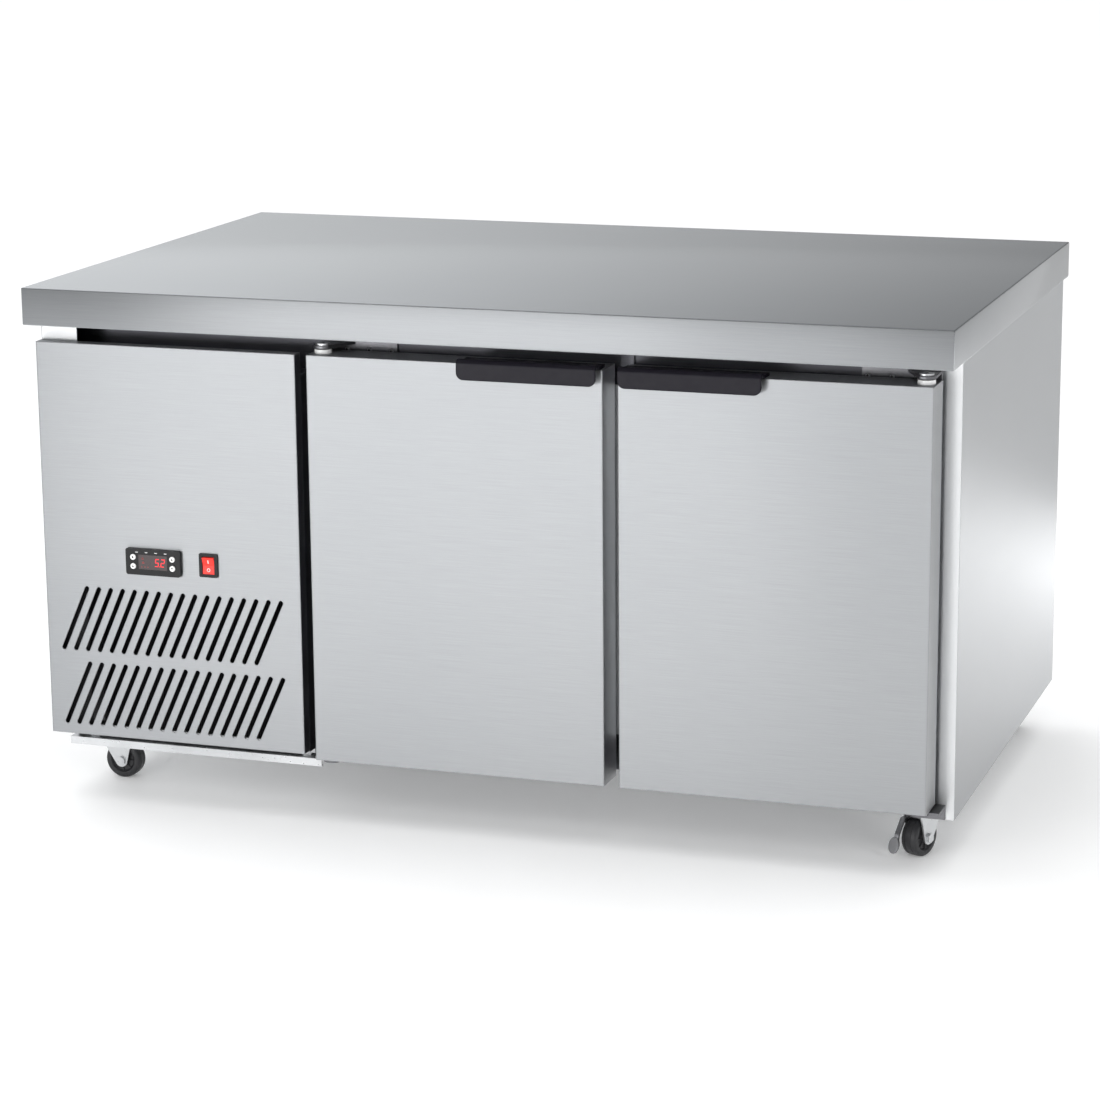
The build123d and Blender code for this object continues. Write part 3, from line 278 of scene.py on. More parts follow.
# The look of each material slot in the record.
SLOT_LOOK = {
    "stainless": "steel_z", "galvanised": "galvanised", "liner_steel": "steel_z", "foam": "foam",
    "board": "board", "shelf_wire": "wire", "black_plastic": "black_plastic", "display_window": "window",
    "button_grey": "button", "red_lens": "red", "coil_metal": "coil", "dark_steel": "dark_steel",
    "fan_plastic": "fan", "copper": "copper", "seal_rubber": "rubber", "handle_black": "handle",
    "bush_white": "bush", "zinc": "zinc", "tread": "tread",
}
# Nodes whose look isn't their slot's; the front, door and side steels are darker copies: painted shade.
NODE_LOOK = {
    "front_panel": "steel_x", "left_door_skin": "door_steel", "right_door_skin": "door_steel",
    # The door frame's steel is dark for the shadow under the worktop: painted shadow.
    "right_side_panel": "steel_y", "left_side_panel": "steel_y", "door_frame": "recess_shadow_steel",
    # The brake pedal's zinc is darkened: painted shade.
    "base_frame": "zinc", "hinge_brackets": "hinge_steel", "front_right_castor_brake": "dull_shaded_zinc",
}


def dress_nodes():
    """Gives each CAD node that stays its look."""
    for part in frame["record"]["subparts"]:
        look = NODE_LOOK.get(part["node"], SLOT_LOOK[part["material_slot"]])
        for place in frame["nodes"][part["node"]].material_slots:
            place.material = materials[look]


# ---------------------------------------------------------------- mesh helpers
def keep(name, mesh, body, slot, looks, *nodes):
    """Puts a mesh in the scene as a piece of the object, in place of the CAD nodes named."""
    mesh.name = name
    piece = bpy.data.objects.new(name, mesh)
    bpy.context.collection.objects.link(piece)
    for look in looks:
        mesh.materials.append(materials[look])
    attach(piece, body)
    if nodes:
        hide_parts(*nodes)


def finished(shape, smooth_angle=32.0):
    """A mesh datablock from a bmesh in millimetres, smooth except at sharp corners."""
    bmesh.ops.recalc_face_normals(shape, faces=shape.faces)
    bmesh.ops.scale(shape, vec=(MM, MM, MM), verts=shape.verts)
    for face in shape.faces:
        face.smooth = True
    limit = math.radians(smooth_angle)
    for edge in shape.edges:
        edge.smooth = len(edge.link_faces) == 2 and edge.calc_face_angle(0.0) < limit
    mesh = bpy.data.meshes.new("mesh")
    shape.to_mesh(mesh)
    shape.free()
    return mesh


def add_box(shape, low, high, rounding=0.0, steps=2):
    """A box between two corners, its edges rounded."""
    made = bmesh.ops.create_cube(shape, size=1.0)["verts"]
    size = [high[i] - low[i] for i in range(3)]
    middle = [(high[i] + low[i]) / 2 for i in range(3)]
    bmesh.ops.scale(shape, vec=size, verts=made)
    bmesh.ops.translate(shape, vec=middle, verts=made)
    if rounding:
        edges = list(dict.fromkeys(edge for vert in made for edge in vert.link_edges))
        bmesh.ops.bevel(shape, geom=edges, offset=rounding, segments=steps, profile=0.5, affect="EDGES")


def close_rings(shape, rings):
    """Skins a row of closed rings of vertices and caps its ends."""
    for low, high in zip(rings, rings[1:]):
        for index in range(len(low)):
            after = (index + 1) % len(low)
            shape.faces.new((low[index], low[after], high[after], high[index]))
    for ring in (rings[0], rings[-1]):
        shape.faces.new(ring)


def add_lathe(shape, profile, centre, axis, steps=40):
    """Turns a profile of (distance along the axis, radius) about an axis through centre."""
    turn = Vector(axis).to_track_quat("Z", "Y").to_matrix()
    rings = []
    for along, radius in profile:
        ring = []
        for index in range(steps):
            angle = 2 * math.pi * index / steps
            spot = turn @ Vector((radius * math.cos(angle), radius * math.sin(angle), along))
            ring.append(shape.verts.new(Vector(centre) + spot))
        rings.append(ring)
    close_rings(shape, rings)


def add_tube(shape, route, radius, steps=12):
    """A round tube along a route of points."""
    route = [Vector(point) for point in route]
    rings = []
    side = None
    for index, point in enumerate(route):
        before = route[max(index - 1, 0)]
        after = route[min(index + 1, len(route) - 1)]
        heading = (after - before).normalized()
        if side is None:
            side = heading.orthogonal().normalized()
        side = (side - heading * side.dot(heading)).normalized()
        up = heading.cross(side)
        angles = [2 * math.pi * turn / steps for turn in range(steps)]
        rings.append([shape.verts.new(point + radius * (math.cos(turn) * side + math.sin(turn) * up))
                      for turn in angles])
    close_rings(shape, rings)


# ---------------------------------------------------------------- worktop
TOP_LOW = (-600.0, -380.0, 632.0)
TOP_HIGH = (600.0, 380.0, 680.0)
FOLD = 1.6
LIP = 14.5
BOARD_DEPTH = 1.5


def worktop():
    """A folded pan: rounded corners, a return lip underneath and the board inside it."""
    shape = bmesh.new()
    add_box(shape, TOP_LOW, TOP_HIGH, FOLD, 3)
    under = [face for face in shape.faces if face.normal.z < -0.99 and face.calc_area() > 1e5]
    bmesh.ops.inset_region(shape, faces=under, thickness=LIP, depth=0.0)
    raised = bmesh.ops.extrude_face_region(shape, geom=under)
    lifted = [item for item in raised["geom"] if isinstance(item, bmesh.types.BMVert)]
    bmesh.ops.translate(shape, vec=(0, 0, BOARD_DEPTH), verts=lifted)
    bmesh.ops.delete(shape, geom=under, context="FACES")
    # The pan's top takes the lightest steel; its front, back and ends take darker copies: painted shade.
    looks = ("worktop_steel", "edge_shade_steel", "steel_y", "sealed_board")
    for face in shape.faces:
        normal = face.normal
        if normal.z < -0.9 and face.calc_center_median().z > TOP_LOW[2] + 1.0:
            look = "sealed_board"
        elif abs(normal.x) > 0.75:
            look = "steel_y"
        else:
            look = "edge_shade_steel" if abs(normal.y) > 0.75 else "worktop_steel"
        face.material_index = looks.index(look)
    keep("worktop_pan", finished(shape, 50.0), "cabinet", "stainless", looks, "worktop", "worktop_board")


# ---------------------------------------------------------------- controller and switch
FACE = -358.0
CONTROLLER = (-438.0, 329.0)
GLASS = FACE - 4.9
BEZEL = FACE - 5.0
BUTTON_FRONT = FACE - 6.4
# Marks on the controller, measured from its middle as (x, z).
DIGITS = (("5", 2.5), ("2", 10.5))
DIGIT_LOW = -5.2
DIGIT_HEIGHT = 10.5
DIGIT_LEAN = 0.14
SEGMENTS = {"5": "afgcd", "2": "abged"}
DECIMAL_POINT = (9.2, -4.8, 0.6)
SNOWFLAKE = (-14.0, 4.5)
SNOWFLAKE_ARM = 2.0
STATUS_DOTS = (-15.5, -11.3, -7.1)
STATUS_DOT_LEVEL = -6.3
ALARM = ((-15.6, -1.8), (-11.4, -1.8), (-13.5, 1.2))
PRINT_COUNT = 4
PRINT_PITCH = 13.4
PRINT_X = (-24.0, -20.5)
PRINT_Z = (12.2, 13.1)
MARK_DEPTH = 0.12

SWITCH = (-361.6, 329.8)
# The rocker's pivot behind the face, its tilt at rest, and how far its front stands out in the middle and at
# the ends of its two slanted faces.
ROCKER_PIVOT = 2.0
ROCKER_TILT = 6.0
ROCKER_MIDDLE = 3.0
ROCKER_END = 4.8
ROCKER_REACH = 10.9
MARK_LIFT = 0.02
ROCKER_BAR = ((-0.7, 3.0), (0.7, 3.0), (0.7, 7.6), (-0.7, 7.6))
ROCKER_RING_Z = -5.6
ROCKER_RING = (2.3, 1.5)
ROCKER_RING_SIDES = 24


def add_mark(shape, outline, y, depth=MARK_DEPTH):
    """A thin raised mark of an outline of (x, z), in front of the plane y."""
    back = [shape.verts.new((x, y, z)) for x, z in outline]
    front = [shape.verts.new((x, y - depth, z)) for x, z in outline]
    shape.faces.new(front)
    shape.faces.new(back[::-1])
    for index in range(len(outline)):
        after = (index + 1) % len(outline)
        shape.faces.new((back[index], back[after], front[after], front[index]))


def add_digit(shape, mark, left, low, height, y):
    """A seven-segment digit, leaning slightly, in front of the plane y."""
    width = height * 0.52
    thick = height * 0.11
    gap = thick * 0.35
    half = height / 2
    bars = {
        "a": ((gap, height - thick), (width - gap, height)),
        "b": ((width - thick, half + gap), (width, height - gap)),
        "c": ((width - thick, gap), (width, half - gap)),
        "d": ((gap, 0), (width - gap, thick)),
        "e": ((0, gap), (thick, half - gap)),
        "f": ((0, half + gap), (thick, height - gap)),
        "g": ((gap, half - thick / 2), (width - gap, half + thick / 2)),
    }
    for name in SEGMENTS[mark]:
        (x0, z0), (x1, z1) = bars[name]
        corners = ((x0, z0), (x1, z0), (x1, z1), (x0, z1))
        add_mark(shape, [(left + (x + z * DIGIT_LEAN), low + z) for x, z in corners], y)


def dot(x, z, radius, steps=14):
    """The outline of a round mark."""
    angles = [2 * math.pi * index / steps for index in range(steps)]
    return [(x + radius * math.cos(angle), z + radius * math.sin(angle)) for angle in angles]


def display():
    """The lit digits, and the dim icons beside them."""
    cx, cz = CONTROLLER
    digits = bmesh.new()
    for mark, left in DIGITS:
        add_digit(digits, mark, cx + left, cz + DIGIT_LOW, DIGIT_HEIGHT, GLASS)
    x, z, radius = DECIMAL_POINT
    add_mark(digits, dot(cx + x, cz + z, radius), GLASS)
    keep("display_digits", finished(digits), "cabinet", "display_window", ("lit_red",))
    icons = bmesh.new()
    for turn in range(3):
        angle = math.radians(30 + turn * 60)
        across = Vector((math.cos(angle), math.sin(angle))) * SNOWFLAKE_ARM
        wide = Vector((-across.y, across.x)) * 0.13
        ends = [across + wide, wide - across, -across - wide, across - wide]
        add_mark(icons, [(cx + SNOWFLAKE[0] + end.x, cz + SNOWFLAKE[1] + end.y) for end in ends], GLASS)
    for column in STATUS_DOTS:
        add_mark(icons, dot(cx + column, cz + STATUS_DOT_LEVEL, 0.75), GLASS)
    add_mark(icons, [(cx + x, cz + z) for x, z in ALARM], GLASS)
    keep("display_icons", finished(icons), "cabinet", "display_window", ("lit_dim",))


def controller():
    """The display, the small printed guides above its window, and the marks on its four buttons."""
    display()
    cx, cz = CONTROLLER
    prints = bmesh.new()
    for column in range(PRINT_COUNT):
        left, right = (cx + x + column * PRINT_PITCH for x in PRINT_X)
        low, high = (cz + z for z in PRINT_Z)
        add_mark(prints, [(left, low), (right, low), (right, high), (left, high)], BEZEL)
    keep("bezel_print", finished(prints), "cabinet", "black_plastic", ("print_white",))
    marks = {
        "set_button": dot(cx - 27.5, cz + 6.0, 1.3),
        "defrost_button": [(cx - 28.9, cz - 7.3), (cx - 26.1, cz - 7.3), (cx - 27.5, cz - 4.3)],
        "up_button": [(cx + 25.9, cz + 4.9), (cx + 29.1, cz + 4.9), (cx + 27.5, cz + 7.4)],
        "down_button": [(cx + 25.9, cz - 4.7), (cx + 27.5, cz - 7.3), (cx + 29.1, cz - 4.7)],
    }
    for button, outline in marks.items():
        shape = bmesh.new()
        add_mark(shape, outline, BUTTON_FRONT, MARK_DEPTH / 2)
        keep(button + "_mark", finished(shape), button, "button_grey", ("black_plastic",))


def switch_marks():
    """The lit rocker's marks: a bar above and a ring below, each on its own slanted face."""
    sx, sz = SWITCH
    slant = (ROCKER_MIDDLE - ROCKER_END) / ROCKER_REACH
    tilt = Matrix.Rotation(math.radians(ROCKER_TILT), 3, "X")
    bar = bmesh.new()
    add_mark(bar, ROCKER_BAR, 0.0)
    ring = bmesh.new()
    outer, inner = (dot(0.0, ROCKER_RING_Z, radius, ROCKER_RING_SIDES) for radius in ROCKER_RING)
    for index in range(ROCKER_RING_SIDES):
        after = (index + 1) % ROCKER_RING_SIDES
        add_mark(ring, [outer[index], outer[after], inner[after], inner[index]], 0.0)
    for name, shape, rise in (("rocker_bar", bar, slant), ("rocker_ring", ring, -slant)):
        for vert in shape.verts:
            vert.co.y += -ROCKER_MIDDLE + rise * vert.co.z - MARK_LIFT
        bmesh.ops.rotate(shape, cent=(0, 0, 0), matrix=tilt, verts=shape.verts)
        bmesh.ops.translate(shape, vec=(sx, FACE + ROCKER_PIVOT, sz), verts=shape.verts)
        keep(name, finished(shape), "rocker", "red_lens", ("print_white",))


# ---------------------------------------------------------------- screws
# Each hinge's place, and the direction in which its bracket reaches.
HINGES = ((-207.0, 1.0), (558.0, -1.0))
HINGE_Y = -334.0
HINGE_SCREWS = (19.0, 49.0, 78.5)
HINGE_SCREW_FRONT = -303.1
HINGE_SCREW_Z = 608.0
PIN_TOP = 620.5
BACK_SCREW_Y = 374.0
BACK_SCREW_SLOT = (376.0, 376.5)
# Half the length and half the width of a cross recess.
SCREW_CROSS = (1.7, 0.55)
PIN_CROSS = (2.6, 0.7)
BACK_CROSS = (1.8, 0.4)
DOME = ((0.0, 4.2), (0.9, 4.1), (1.7, 3.4), (2.2, 2.2), (2.4, 0.8))


def cross_bars(reach, wide):
    """The opposite corners of the two bars of a cross."""
    return ((-reach, -wide), (reach, wide)), ((-wide, -reach), (wide, reach))


def screw_recesses():
    """Cross recesses in the hinge screws, which face forward, and in the hinge pins' heads, which face up:
    painted shade.
    """
    shape = bmesh.new()
    for hinge_x, inward in HINGES:
        for offset in HINGE_SCREWS:
            x = hinge_x + inward * offset
            for low, high in cross_bars(*SCREW_CROSS):
                add_box(shape, (x + low[0], HINGE_SCREW_FRONT - 0.15, HINGE_SCREW_Z + low[1]),
                        (x + high[0], HINGE_SCREW_FRONT + 0.5, HINGE_SCREW_Z + high[1]))
        for low, high in cross_bars(*PIN_CROSS):
            add_box(shape, (hinge_x + low[0], HINGE_Y + low[1], PIN_TOP - 0.5),
                    (hinge_x + high[0], HINGE_Y + high[1], PIN_TOP + 0.15))
    # The crosses are near-black marks: painted shade for the shade inside the recesses.
    keep("screw_recesses", finished(shape), "cabinet", "zinc", ("black_plastic",))


def back_screws():
    """Domed screws round the back panel and its service cover."""
    shape = bmesh.new()
    spots = [(x, z) for x in range(-580, 581, 145) for z in (98.0, 622.0)]
    spots += [(x, z) for x in (-580.0, -236.0, 580.0) for z in (230.0, 362.0, 494.0)]
    for x, z in spots:
        add_lathe(shape, DOME, (x, BACK_SCREW_Y, z), (0, 1, 0), 18)
        for low, high in cross_bars(*BACK_CROSS):
            add_box(shape, (x + low[0], BACK_SCREW_SLOT[0], z + low[1]),
                    (x + high[0], BACK_SCREW_SLOT[1], z + high[1]))
    keep("back_screws", finished(shape), "cabinet", "zinc", ("zinc",))


# ---------------------------------------------------------------- door seals
DOOR_X = {"left": (-221.0, 166.0), "right": (185.0, 572.0)}
DOOR_Z = (84.0, 608.0)
DOOR_BACK = -308.0
SEAL_INSET = 11.0
# The seal's section: distance in from its outer edge, and distance back from the door.
SEAL_SECTION = (
    (0.4, 0.0), (0.0, 2.0), (1.8, 3.4), (1.2, 5.0), (0.0, 6.4), (0.2, 9.6), (1.2, 10.6), (6.0, 10.6),
    (10.8, 10.6), (11.8, 9.6), (12.0, 6.4), (10.8, 5.0), (10.2, 3.4), (12.0, 2.0), (11.6, 0.0),
)


def seals():
    """Magnetic door gaskets: a folded bellows section, mitred at the corners."""
    for side, (left, right) in DOOR_X.items():
        shape = bmesh.new()
        corners = ((left, DOOR_Z[0], 1, 1), (right, DOOR_Z[0], -1, 1), (right, DOOR_Z[1], -1, -1),
                   (left, DOOR_Z[1], 1, -1))
        rings = []
        for x, z, in_x, in_z in corners:
            section = [(SEAL_INSET + across, back) for across, back in SEAL_SECTION]
            rings.append([shape.verts.new((x + in_x * inward, DOOR_BACK + back, z + in_z * inward))
                          for inward, back in section])
        count = len(SEAL_SECTION)
        for here, there in zip(rings, rings[1:] + rings[:1]):
            for point in range(count):
                after = (point + 1) % count
                shape.faces.new((here[point], here[after], there[after], there[point]))
        keep(side + "_seal", finished(shape, 40.0), side + "_door", "seal_rubber", ("rubber",),
             side + "_door_gasket")


# ---------------------------------------------------------------- castor wheels
# Each castor's swivel axis (x, y), and the way its wheel trails, in degrees about Z from +X.
CASTORS = {"front_left": (-557.0, -245.0, 0.0), "front_right": (547.0, -245.0, -113.0),
           "rear_left": (-557.0, 310.0, 90.0), "rear_right": (547.0, 310.0, 90.0)}
WHEEL_RADIUS = 25.0
TRAIL = 12.0
RIB_COUNT = 8
RIB_OFFSET = 8.9
RIB_RADII = (8.2, 12.0, 15.6)
# Half of the turned section, which is symmetric: distance along the axle, and radius.
HALF_WHEEL = (
    (9.0, 6.4), (9.0, 8.0), (8.0, 8.6), (8.0, 14.6), (9.6, 16.0), (10.8, 17.2), (11.0, 20.6), (10.0, 23.2),
    (8.2, 24.6), (5.0, 25.0), (4.6, 24.4), (4.0, 24.4), (3.6, 25.0),
)
WHEEL_PROFILE = [(-along, radius) for along, radius in HALF_WHEEL] + list(HALF_WHEEL[::-1])


def wheels():
    """Moulded wheels: a tread with two grooves, dished sides with ribs, and a hub."""
    for corner, (x, y, heading) in CASTORS.items():
        turn = math.radians(heading)
        ahead = Vector((math.cos(turn), math.sin(turn), 0))
        axle = Vector((-math.sin(turn), math.cos(turn), 0))
        centre = Vector((x, y, WHEEL_RADIUS)) + ahead * TRAIL
        shape = bmesh.new()
        add_lathe(shape, WHEEL_PROFILE, centre, axle, 56)
        for side in (-1.0, 1.0):
            for index in range(RIB_COUNT):
                angle = 2 * math.pi * index / RIB_COUNT
                out = ahead * math.cos(angle) + Vector((0, 0, math.sin(angle)))
                rib = [centre + axle * side * RIB_OFFSET + out * radius for radius in RIB_RADII]
                add_tube(shape, rib, 0.9, 6)
        keep(corner + "_tyre", finished(shape), corner + "_castor_wheel", "tread", ("tread",),
             corner + "_castor_wheel")


# ---------------------------------------------------------------- coils and fans
FIN = 0.35
TUBE_RADIUS = 4.0
TUBE_ROW = 26.0
TUBE_COLUMNS = (0.28, 0.72)
END_PLATE = 1.2
CONDENSER = ((-546.0, -278.0), (-296.0, -240.0), (86.0, 300.0))
CONDENSER_BENDS_Y = (-280.0, -256.0)
CONDENSER_BENDS_Z = [108.0 + row * 32.0 for row in range(6)]
# The plate that closes the gap between the condenser and the left side panel: near-black, painted shade.
BAFFLE = ((-593.6, -300.2, 92.0), (-546.0, -298.6, 306.0))
EVAPORATOR = ((89.5, 261.5), (296.0, 332.0), (344.0, 546.0))
# Foam tape on the left side panel's front return: on its face, and round its inner edge.
SEAL_STRIP = (((-592.0, -340.4, 94.0), (-543.6, -340.06, 306.0)),
              ((-543.95, -340.4, 94.0), (-543.5, -338.4, 306.0)))


def fin_block(name, look, extent, pitch, node, bends=(), plates=()):
    """A finned coil between two end plates, with its tubes, return bends and any plate fixed to it."""
    x, y, z = extent
    shape = bmesh.new()
    for index in range(int((x[1] - x[0]) / pitch) + 1):
        left = x[0] + index * pitch
        add_box(shape, (left, y[0], z[0]), (left + FIN, y[1], z[1]))
    for row in range(int((z[1] - z[0]) / TUBE_ROW)):
        height = z[0] + TUBE_ROW / 2 + row * TUBE_ROW
        for share in TUBE_COLUMNS:
            depth = y[0] + (y[1] - y[0]) * share
            add_tube(shape, ((x[0] + 1, depth, height), (x[1] - 1, depth, height)), TUBE_RADIUS, 10)
    for route in bends:
        add_tube(shape, route, TUBE_RADIUS, 10)
    for end in (x[0], x[1] - END_PLATE):
        add_box(shape, (end, y[0], z[0]), (end + END_PLATE, y[1], z[1]), 0.3, 1)
    for low, high in plates:
        add_box(shape, low, high, 0.3, 1)
    keep(name, finished(shape), "cabinet", "coil_metal", (look,), node)


def return_bends(x, y, heights):
    """Routes of the half-round bends at both ends of a coil, at each height."""
    routes = []
    middle = (y[0] + y[1]) / 2
    half = (y[1] - y[0]) / 2
    angles = [math.pi * step / 8 for step in range(9)]
    for height in heights:
        for end, out in ((x[0], -1.0), (x[1], 1.0)):
            arc = [(end + out * (2.0 + (half - 2) * math.sin(turn)), middle - half * math.cos(turn), height)
                   for turn in angles]
            routes.append([(end - out, y[0], height)] + arc + [(end - out, y[1], height)])
    return routes


def seal_strip():
    """The foam tape between the front panel and the flange that it closes on."""
    shape = bmesh.new()
    for low, high in SEAL_STRIP:
        add_box(shape, low, high, 0.1, 1)
    # The tape is near-black, partly its own black and partly painted shade behind the slots.
    keep("panel_seal_strip", finished(shape), "cabinet", "seal_rubber", ("black_paint_and_shade",))


def coils():
    bends = return_bends(CONDENSER[0], CONDENSER_BENDS_Y, CONDENSER_BENDS_Z)
    # The condenser and its baffle are near-black: black paint and painted shade behind the slots.
    fin_block("condenser_fins", "black_paint_and_shade", CONDENSER, 2.8, "condenser_coil", bends, (BAFFLE,))
    seal_strip()
    fin_block("evaporator_fins", "coil", EVAPORATOR, 3.4, "evaporator_coil")


BLADES = 5
BLADE_THICKNESS = 1.6
# Rows and columns of points on a blade.
BLADE_ROWS = 7
BLADE_STEPS = 7


def blade_grid(centre, hub, radius, start):
    """Points on a twisted, curved blade that leaves the hub at the angle start: rows run out to its tip."""
    cx, cy, cz = centre
    root = hub * 0.94
    grid = []
    for ring in range(BLADE_ROWS):
        share = ring / (BLADE_ROWS - 1)
        reach = root + (radius - 0.6 - root) * share
        pitch = math.radians(42.0 - 20.0 * share)
        chord = radius * (0.42 + 0.16 * math.sin(math.pi * share))
        row = []
        for step in range(BLADE_STEPS):
            across = step / (BLADE_STEPS - 1) - 0.5
            along = across * chord
            turn = start + along * math.cos(pitch) / reach + 0.25 * share
            lift = along * math.sin(pitch) * 0.55 + 1.5 * math.cos(math.pi * across)
            row.append((cx + reach * math.cos(turn), cy + lift, cz + reach * math.sin(turn)))
        grid.append(row)
    return grid


def add_blade(shape, grid):
    """A sheet through a grid of points, thickened backwards, with its rim closed."""
    rims = []
    for offset in (0.0, BLADE_THICKNESS):
        rows = [[shape.verts.new((x, y + offset, z)) for x, y, z in row] for row in grid]
        for near, far in zip(rows, rows[1:]):
            for step in range(BLADE_STEPS - 1):
                shape.faces.new((near[step], near[step + 1], far[step + 1], far[step]))
        rim = [row[0] for row in rows] + rows[-1][1:]
        rims.append(rim + [row[-1] for row in rows[-2::-1]] + rows[0][-2:0:-1])
    front, back = rims
    for index in range(len(front)):
        after = (index + 1) % len(front)
        shape.faces.new((front[index], front[after], back[after], back[index]))


def rotor(name, centre, radius, depth, node):
    """An axial fan: a domed hub with twisted, curved blades."""
    shape = bmesh.new()
    hub = radius * 0.28
    cx, cy, cz = centre
    profile = ((0.0, hub * 0.2), (0.3, hub * 0.75), (1.6, hub * 0.95), (4.0, hub), (depth, hub), (depth, 5.0))
    add_lathe(shape, profile, (cx, cy - depth / 2, cz), (0, 1, 0), 36)
    for blade in range(BLADES):
        add_blade(shape, blade_grid(centre, hub, radius, blade * 2 * math.pi / BLADES))
    keep(name, finished(shape), node, "fan_plastic", ("fan",), node)


def fans():
    rotor("condenser_rotor", (-412.0, -226.0, 190.0), 96.0, 20.0, "condenser_fan")
    rotor("evaporator_rotor", (175.5, 261.0, 445.0), 70.0, 14.0, "evaporator_fan")


# ---------------------------------------------------------------- studio
FLOOR_HALF = 60.0
FLOOR_GLOW = 0.13
BACKDROP_RADIUS = 58.0
BACKDROP_LEVELS = (0.0, 60.0)
BACKDROP_SIDES = 48
BACKDROP_GLOW = 1.0
# The room's brightness: it fades along X behind the unit, and along Y between there and the front.
BEHIND_SPAN = (-0.62, 0.06)
BEHIND_LEFT = 1.03
BEHIND_RIGHT = 0.25
FRONT_SPAN = (-0.3, 0.5)
FRONT_GLOW = 0.30
ROOM_TINT = (("Red", 0.965), ("Green", 0.985), ("Blue", 1.0))
CEILING_SPREAD = 88.0
CEILING_POWER = 1.95
CEILING_AIM = (0.05, -0.15, -1.0)
CAMERA_PLACE = (1.356, -4.072, 1.311)
# Yaw, pitch and roll, in degrees.
CAMERA_TURN = (18.72, -13.34, 0.48)
LENS = 107.5
SENSOR = 36.0
# Beyond the backdrop.
CAMERA_REACH = 200.0
# Each card's name, place, aim, width and height, power, and whether steel mirrors it: those that stand higher
# than the worktop would show in it as white patches from behind.
CARDS = (
    ("front_card", (-0.90, -3.6, 1.35), (-0.1, -0.38, 0.5), (2.9, 2.3), 30.0, False),
    ("front_low", (-0.90, -3.6, 0.42), (-0.90, -0.38, 0.42), (2.9, 0.5), 20.0, True),
    ("edge_card", (2.4, -1.9, 0.9), (0.4, -0.35, 0.4), (0.7, 1.6), 26.0, False),
    ("floor_wash", (-0.8, -3.4, 2.4), (-0.8, -3.4, 0.0), (3.5, 1.6), 24.0, False),
    ("rail_card", (-0.6, -1.7, 0.46), (-0.2, -0.36, 0.62), (1.3, 0.16), 3.6, True),
    ("side_card", (0.95, 1.0, 0.09), (0.95, 0.0, 0.09), (0.7, 0.14), 0.52, True),
)


def stage_piece(name, data, glow):
    """Puts a mesh in the scene as part of the studio, in a pale coat that glows a little."""
    piece = bpy.data.objects.new(name, data)
    bpy.context.collection.objects.link(piece)
    cover = cast_or_painted(name, (0.93, 0.93, 0.93), (0.95, 0.95, 0.95), (0.6, 0.7))
    surface = cover.node_tree.nodes["Principled BSDF"]
    surface.inputs["Emission Color"].default_value = (1, 1, 1, 1)
    surface.inputs["Emission Strength"].default_value = glow
    data.materials.append(cover)
    return piece


def floor():
    data = bpy.data.meshes.new("floor")
    corners = [(-FLOOR_HALF, -FLOOR_HALF, 0), (FLOOR_HALF, -FLOOR_HALF, 0), (FLOOR_HALF, FLOOR_HALF, 0),
               (-FLOOR_HALF, FLOOR_HALF, 0)]
    data.from_pydata(corners, [], [(0, 1, 2, 3)])
    stage_piece("floor", data, FLOOR_GLOW)


def backdrop():
    """A wall at the floor's far edge that only the camera sees, so that low views have no horizon."""
    shape = bmesh.new()
    around = [math.radians(360.0 * step / BACKDROP_SIDES) for step in range(BACKDROP_SIDES)]
    spots = [(BACKDROP_RADIUS * math.cos(turn), BACKDROP_RADIUS * math.sin(turn)) for turn in around]
    foot, head = ([shape.verts.new((x, y, level)) for x, y in spots] for level in BACKDROP_LEVELS)
    for step in range(BACKDROP_SIDES):
        after = (step + 1) % BACKDROP_SIDES
        shape.faces.new((foot[after], foot[step], head[step], head[after]))
    data = bpy.data.meshes.new("backdrop")
    shape.to_mesh(data)
    shape.free()
    piece = stage_piece("backdrop", data, BACKDROP_GLOW)
    for rays in ("diffuse", "glossy", "transmission", "volume_scatter", "shadow"):
        setattr(piece, "visible_" + rays, False)


def softbox(name, place, target, size, power, mirrored):
    """A rectangular light at place, turned towards target."""
    lamp = bpy.data.lights.new(name, "AREA")
    lamp.shape = "RECTANGLE"
    lamp.size, lamp.size_y = size
    lamp.energy = power
    holder = bpy.data.objects.new(name, lamp)
    holder.location = place
    holder.rotation_euler = (Vector(target) - Vector(place)).to_track_quat("-Z", "Y").to_euler()
    holder.visible_camera = False
    holder.visible_glossy = mirrored
    bpy.context.collection.objects.link(holder)


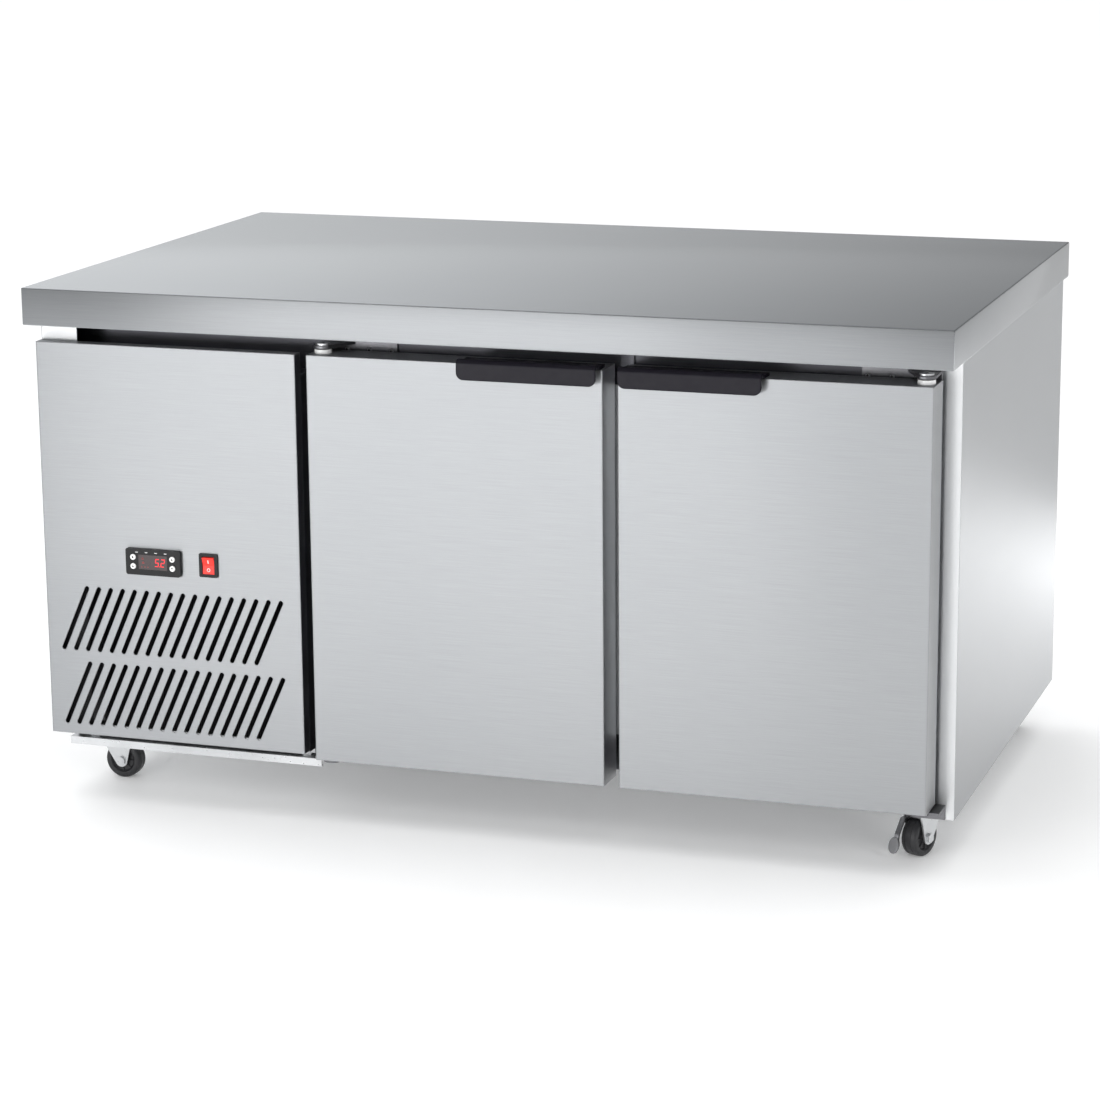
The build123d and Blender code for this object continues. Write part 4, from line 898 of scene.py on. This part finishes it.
def surroundings():
    """A soft room: palest behind the unit at the left, dim in front of it."""
    world = bpy.data.worlds.new("studio")
    bpy.context.scene.world = world
    world.use_nodes = True
    tree = world.node_tree
    glow = tree.nodes["Background"]
    glow.inputs["Strength"].default_value = 1.0
    place = tree.nodes.new("ShaderNodeTexCoord")
    split = tree.nodes.new("ShaderNodeSeparateXYZ")
    tree.links.new(place.outputs["Generated"], split.inputs["Vector"])

    def blend(axis, start, end, low, high):
        made = tree.nodes.new("ShaderNodeMapRange")
        made.interpolation_type = "SMOOTHSTEP"
        for entry, value in (("From Min", start), ("From Max", end), ("To Min", low), ("To Max", high)):
            made.inputs[entry].default_value = value
        tree.links.new(split.outputs[axis], made.inputs["Value"])
        return made

    behind = blend("X", *BEHIND_SPAN, BEHIND_LEFT, BEHIND_RIGHT)
    mix = tree.nodes.new("ShaderNodeMix")
    mix.data_type = "FLOAT"
    tree.links.new(blend("Y", *FRONT_SPAN, 0.0, 1.0).outputs["Result"], mix.inputs["Factor"])
    mix.inputs[2].default_value = FRONT_GLOW
    tree.links.new(behind.outputs["Result"], mix.inputs[3])
    tint = tree.nodes.new("ShaderNodeCombineColor")
    for channel, share in ROOM_TINT:
        scaled = tree.nodes.new("ShaderNodeMath")
        scaled.operation = "MULTIPLY"
        scaled.inputs[1].default_value = share
        tree.links.new(mix.outputs[0], scaled.inputs[0])
        tree.links.new(scaled.outputs[0], tint.inputs[channel])
    tree.links.new(tint.outputs["Color"], glow.inputs["Color"])


def studio():
    """The room's glow, a broad light overhead that steel doesn't mirror, and the cards."""
    surroundings()
    sky = bpy.data.lights.new("ceiling", "SUN")
    sky.angle = math.radians(CEILING_SPREAD)
    sky.energy = CEILING_POWER
    holder = bpy.data.objects.new("ceiling", sky)
    holder.rotation_euler = Vector(CEILING_AIM).to_track_quat("-Z", "Y").to_euler()
    holder.visible_glossy = False
    bpy.context.collection.objects.link(holder)
    for card in CARDS:
        softbox(*card)


def camera():
    """The photo's viewing angle, with no lens shift."""
    data = bpy.data.cameras.new("camera")
    data.sensor_width = SENSOR
    data.lens = LENS
    data.clip_end = CAMERA_REACH
    holder = bpy.data.objects.new("camera", data)
    yaw, pitch, roll = (math.radians(angle) for angle in CAMERA_TURN)
    turn = (Matrix.Rotation(yaw, 3, "Z") @ Matrix.Rotation(pitch, 3, "X") @ Matrix.Rotation(roll, 3, "Y")
            @ Matrix.Rotation(math.radians(90.0), 3, "X"))
    holder.matrix_world = Matrix.Translation(CAMERA_PLACE) @ turn.to_4x4()
    bpy.context.collection.objects.link(holder)
    bpy.context.scene.camera = holder
    bpy.context.scene.view_settings.view_transform = "Standard"


dress_nodes()
worktop()
controller()
switch_marks()
screw_recesses()
back_screws()
seals()
wheels()
coils()
fans()
floor()
backdrop()
studio()
camera()
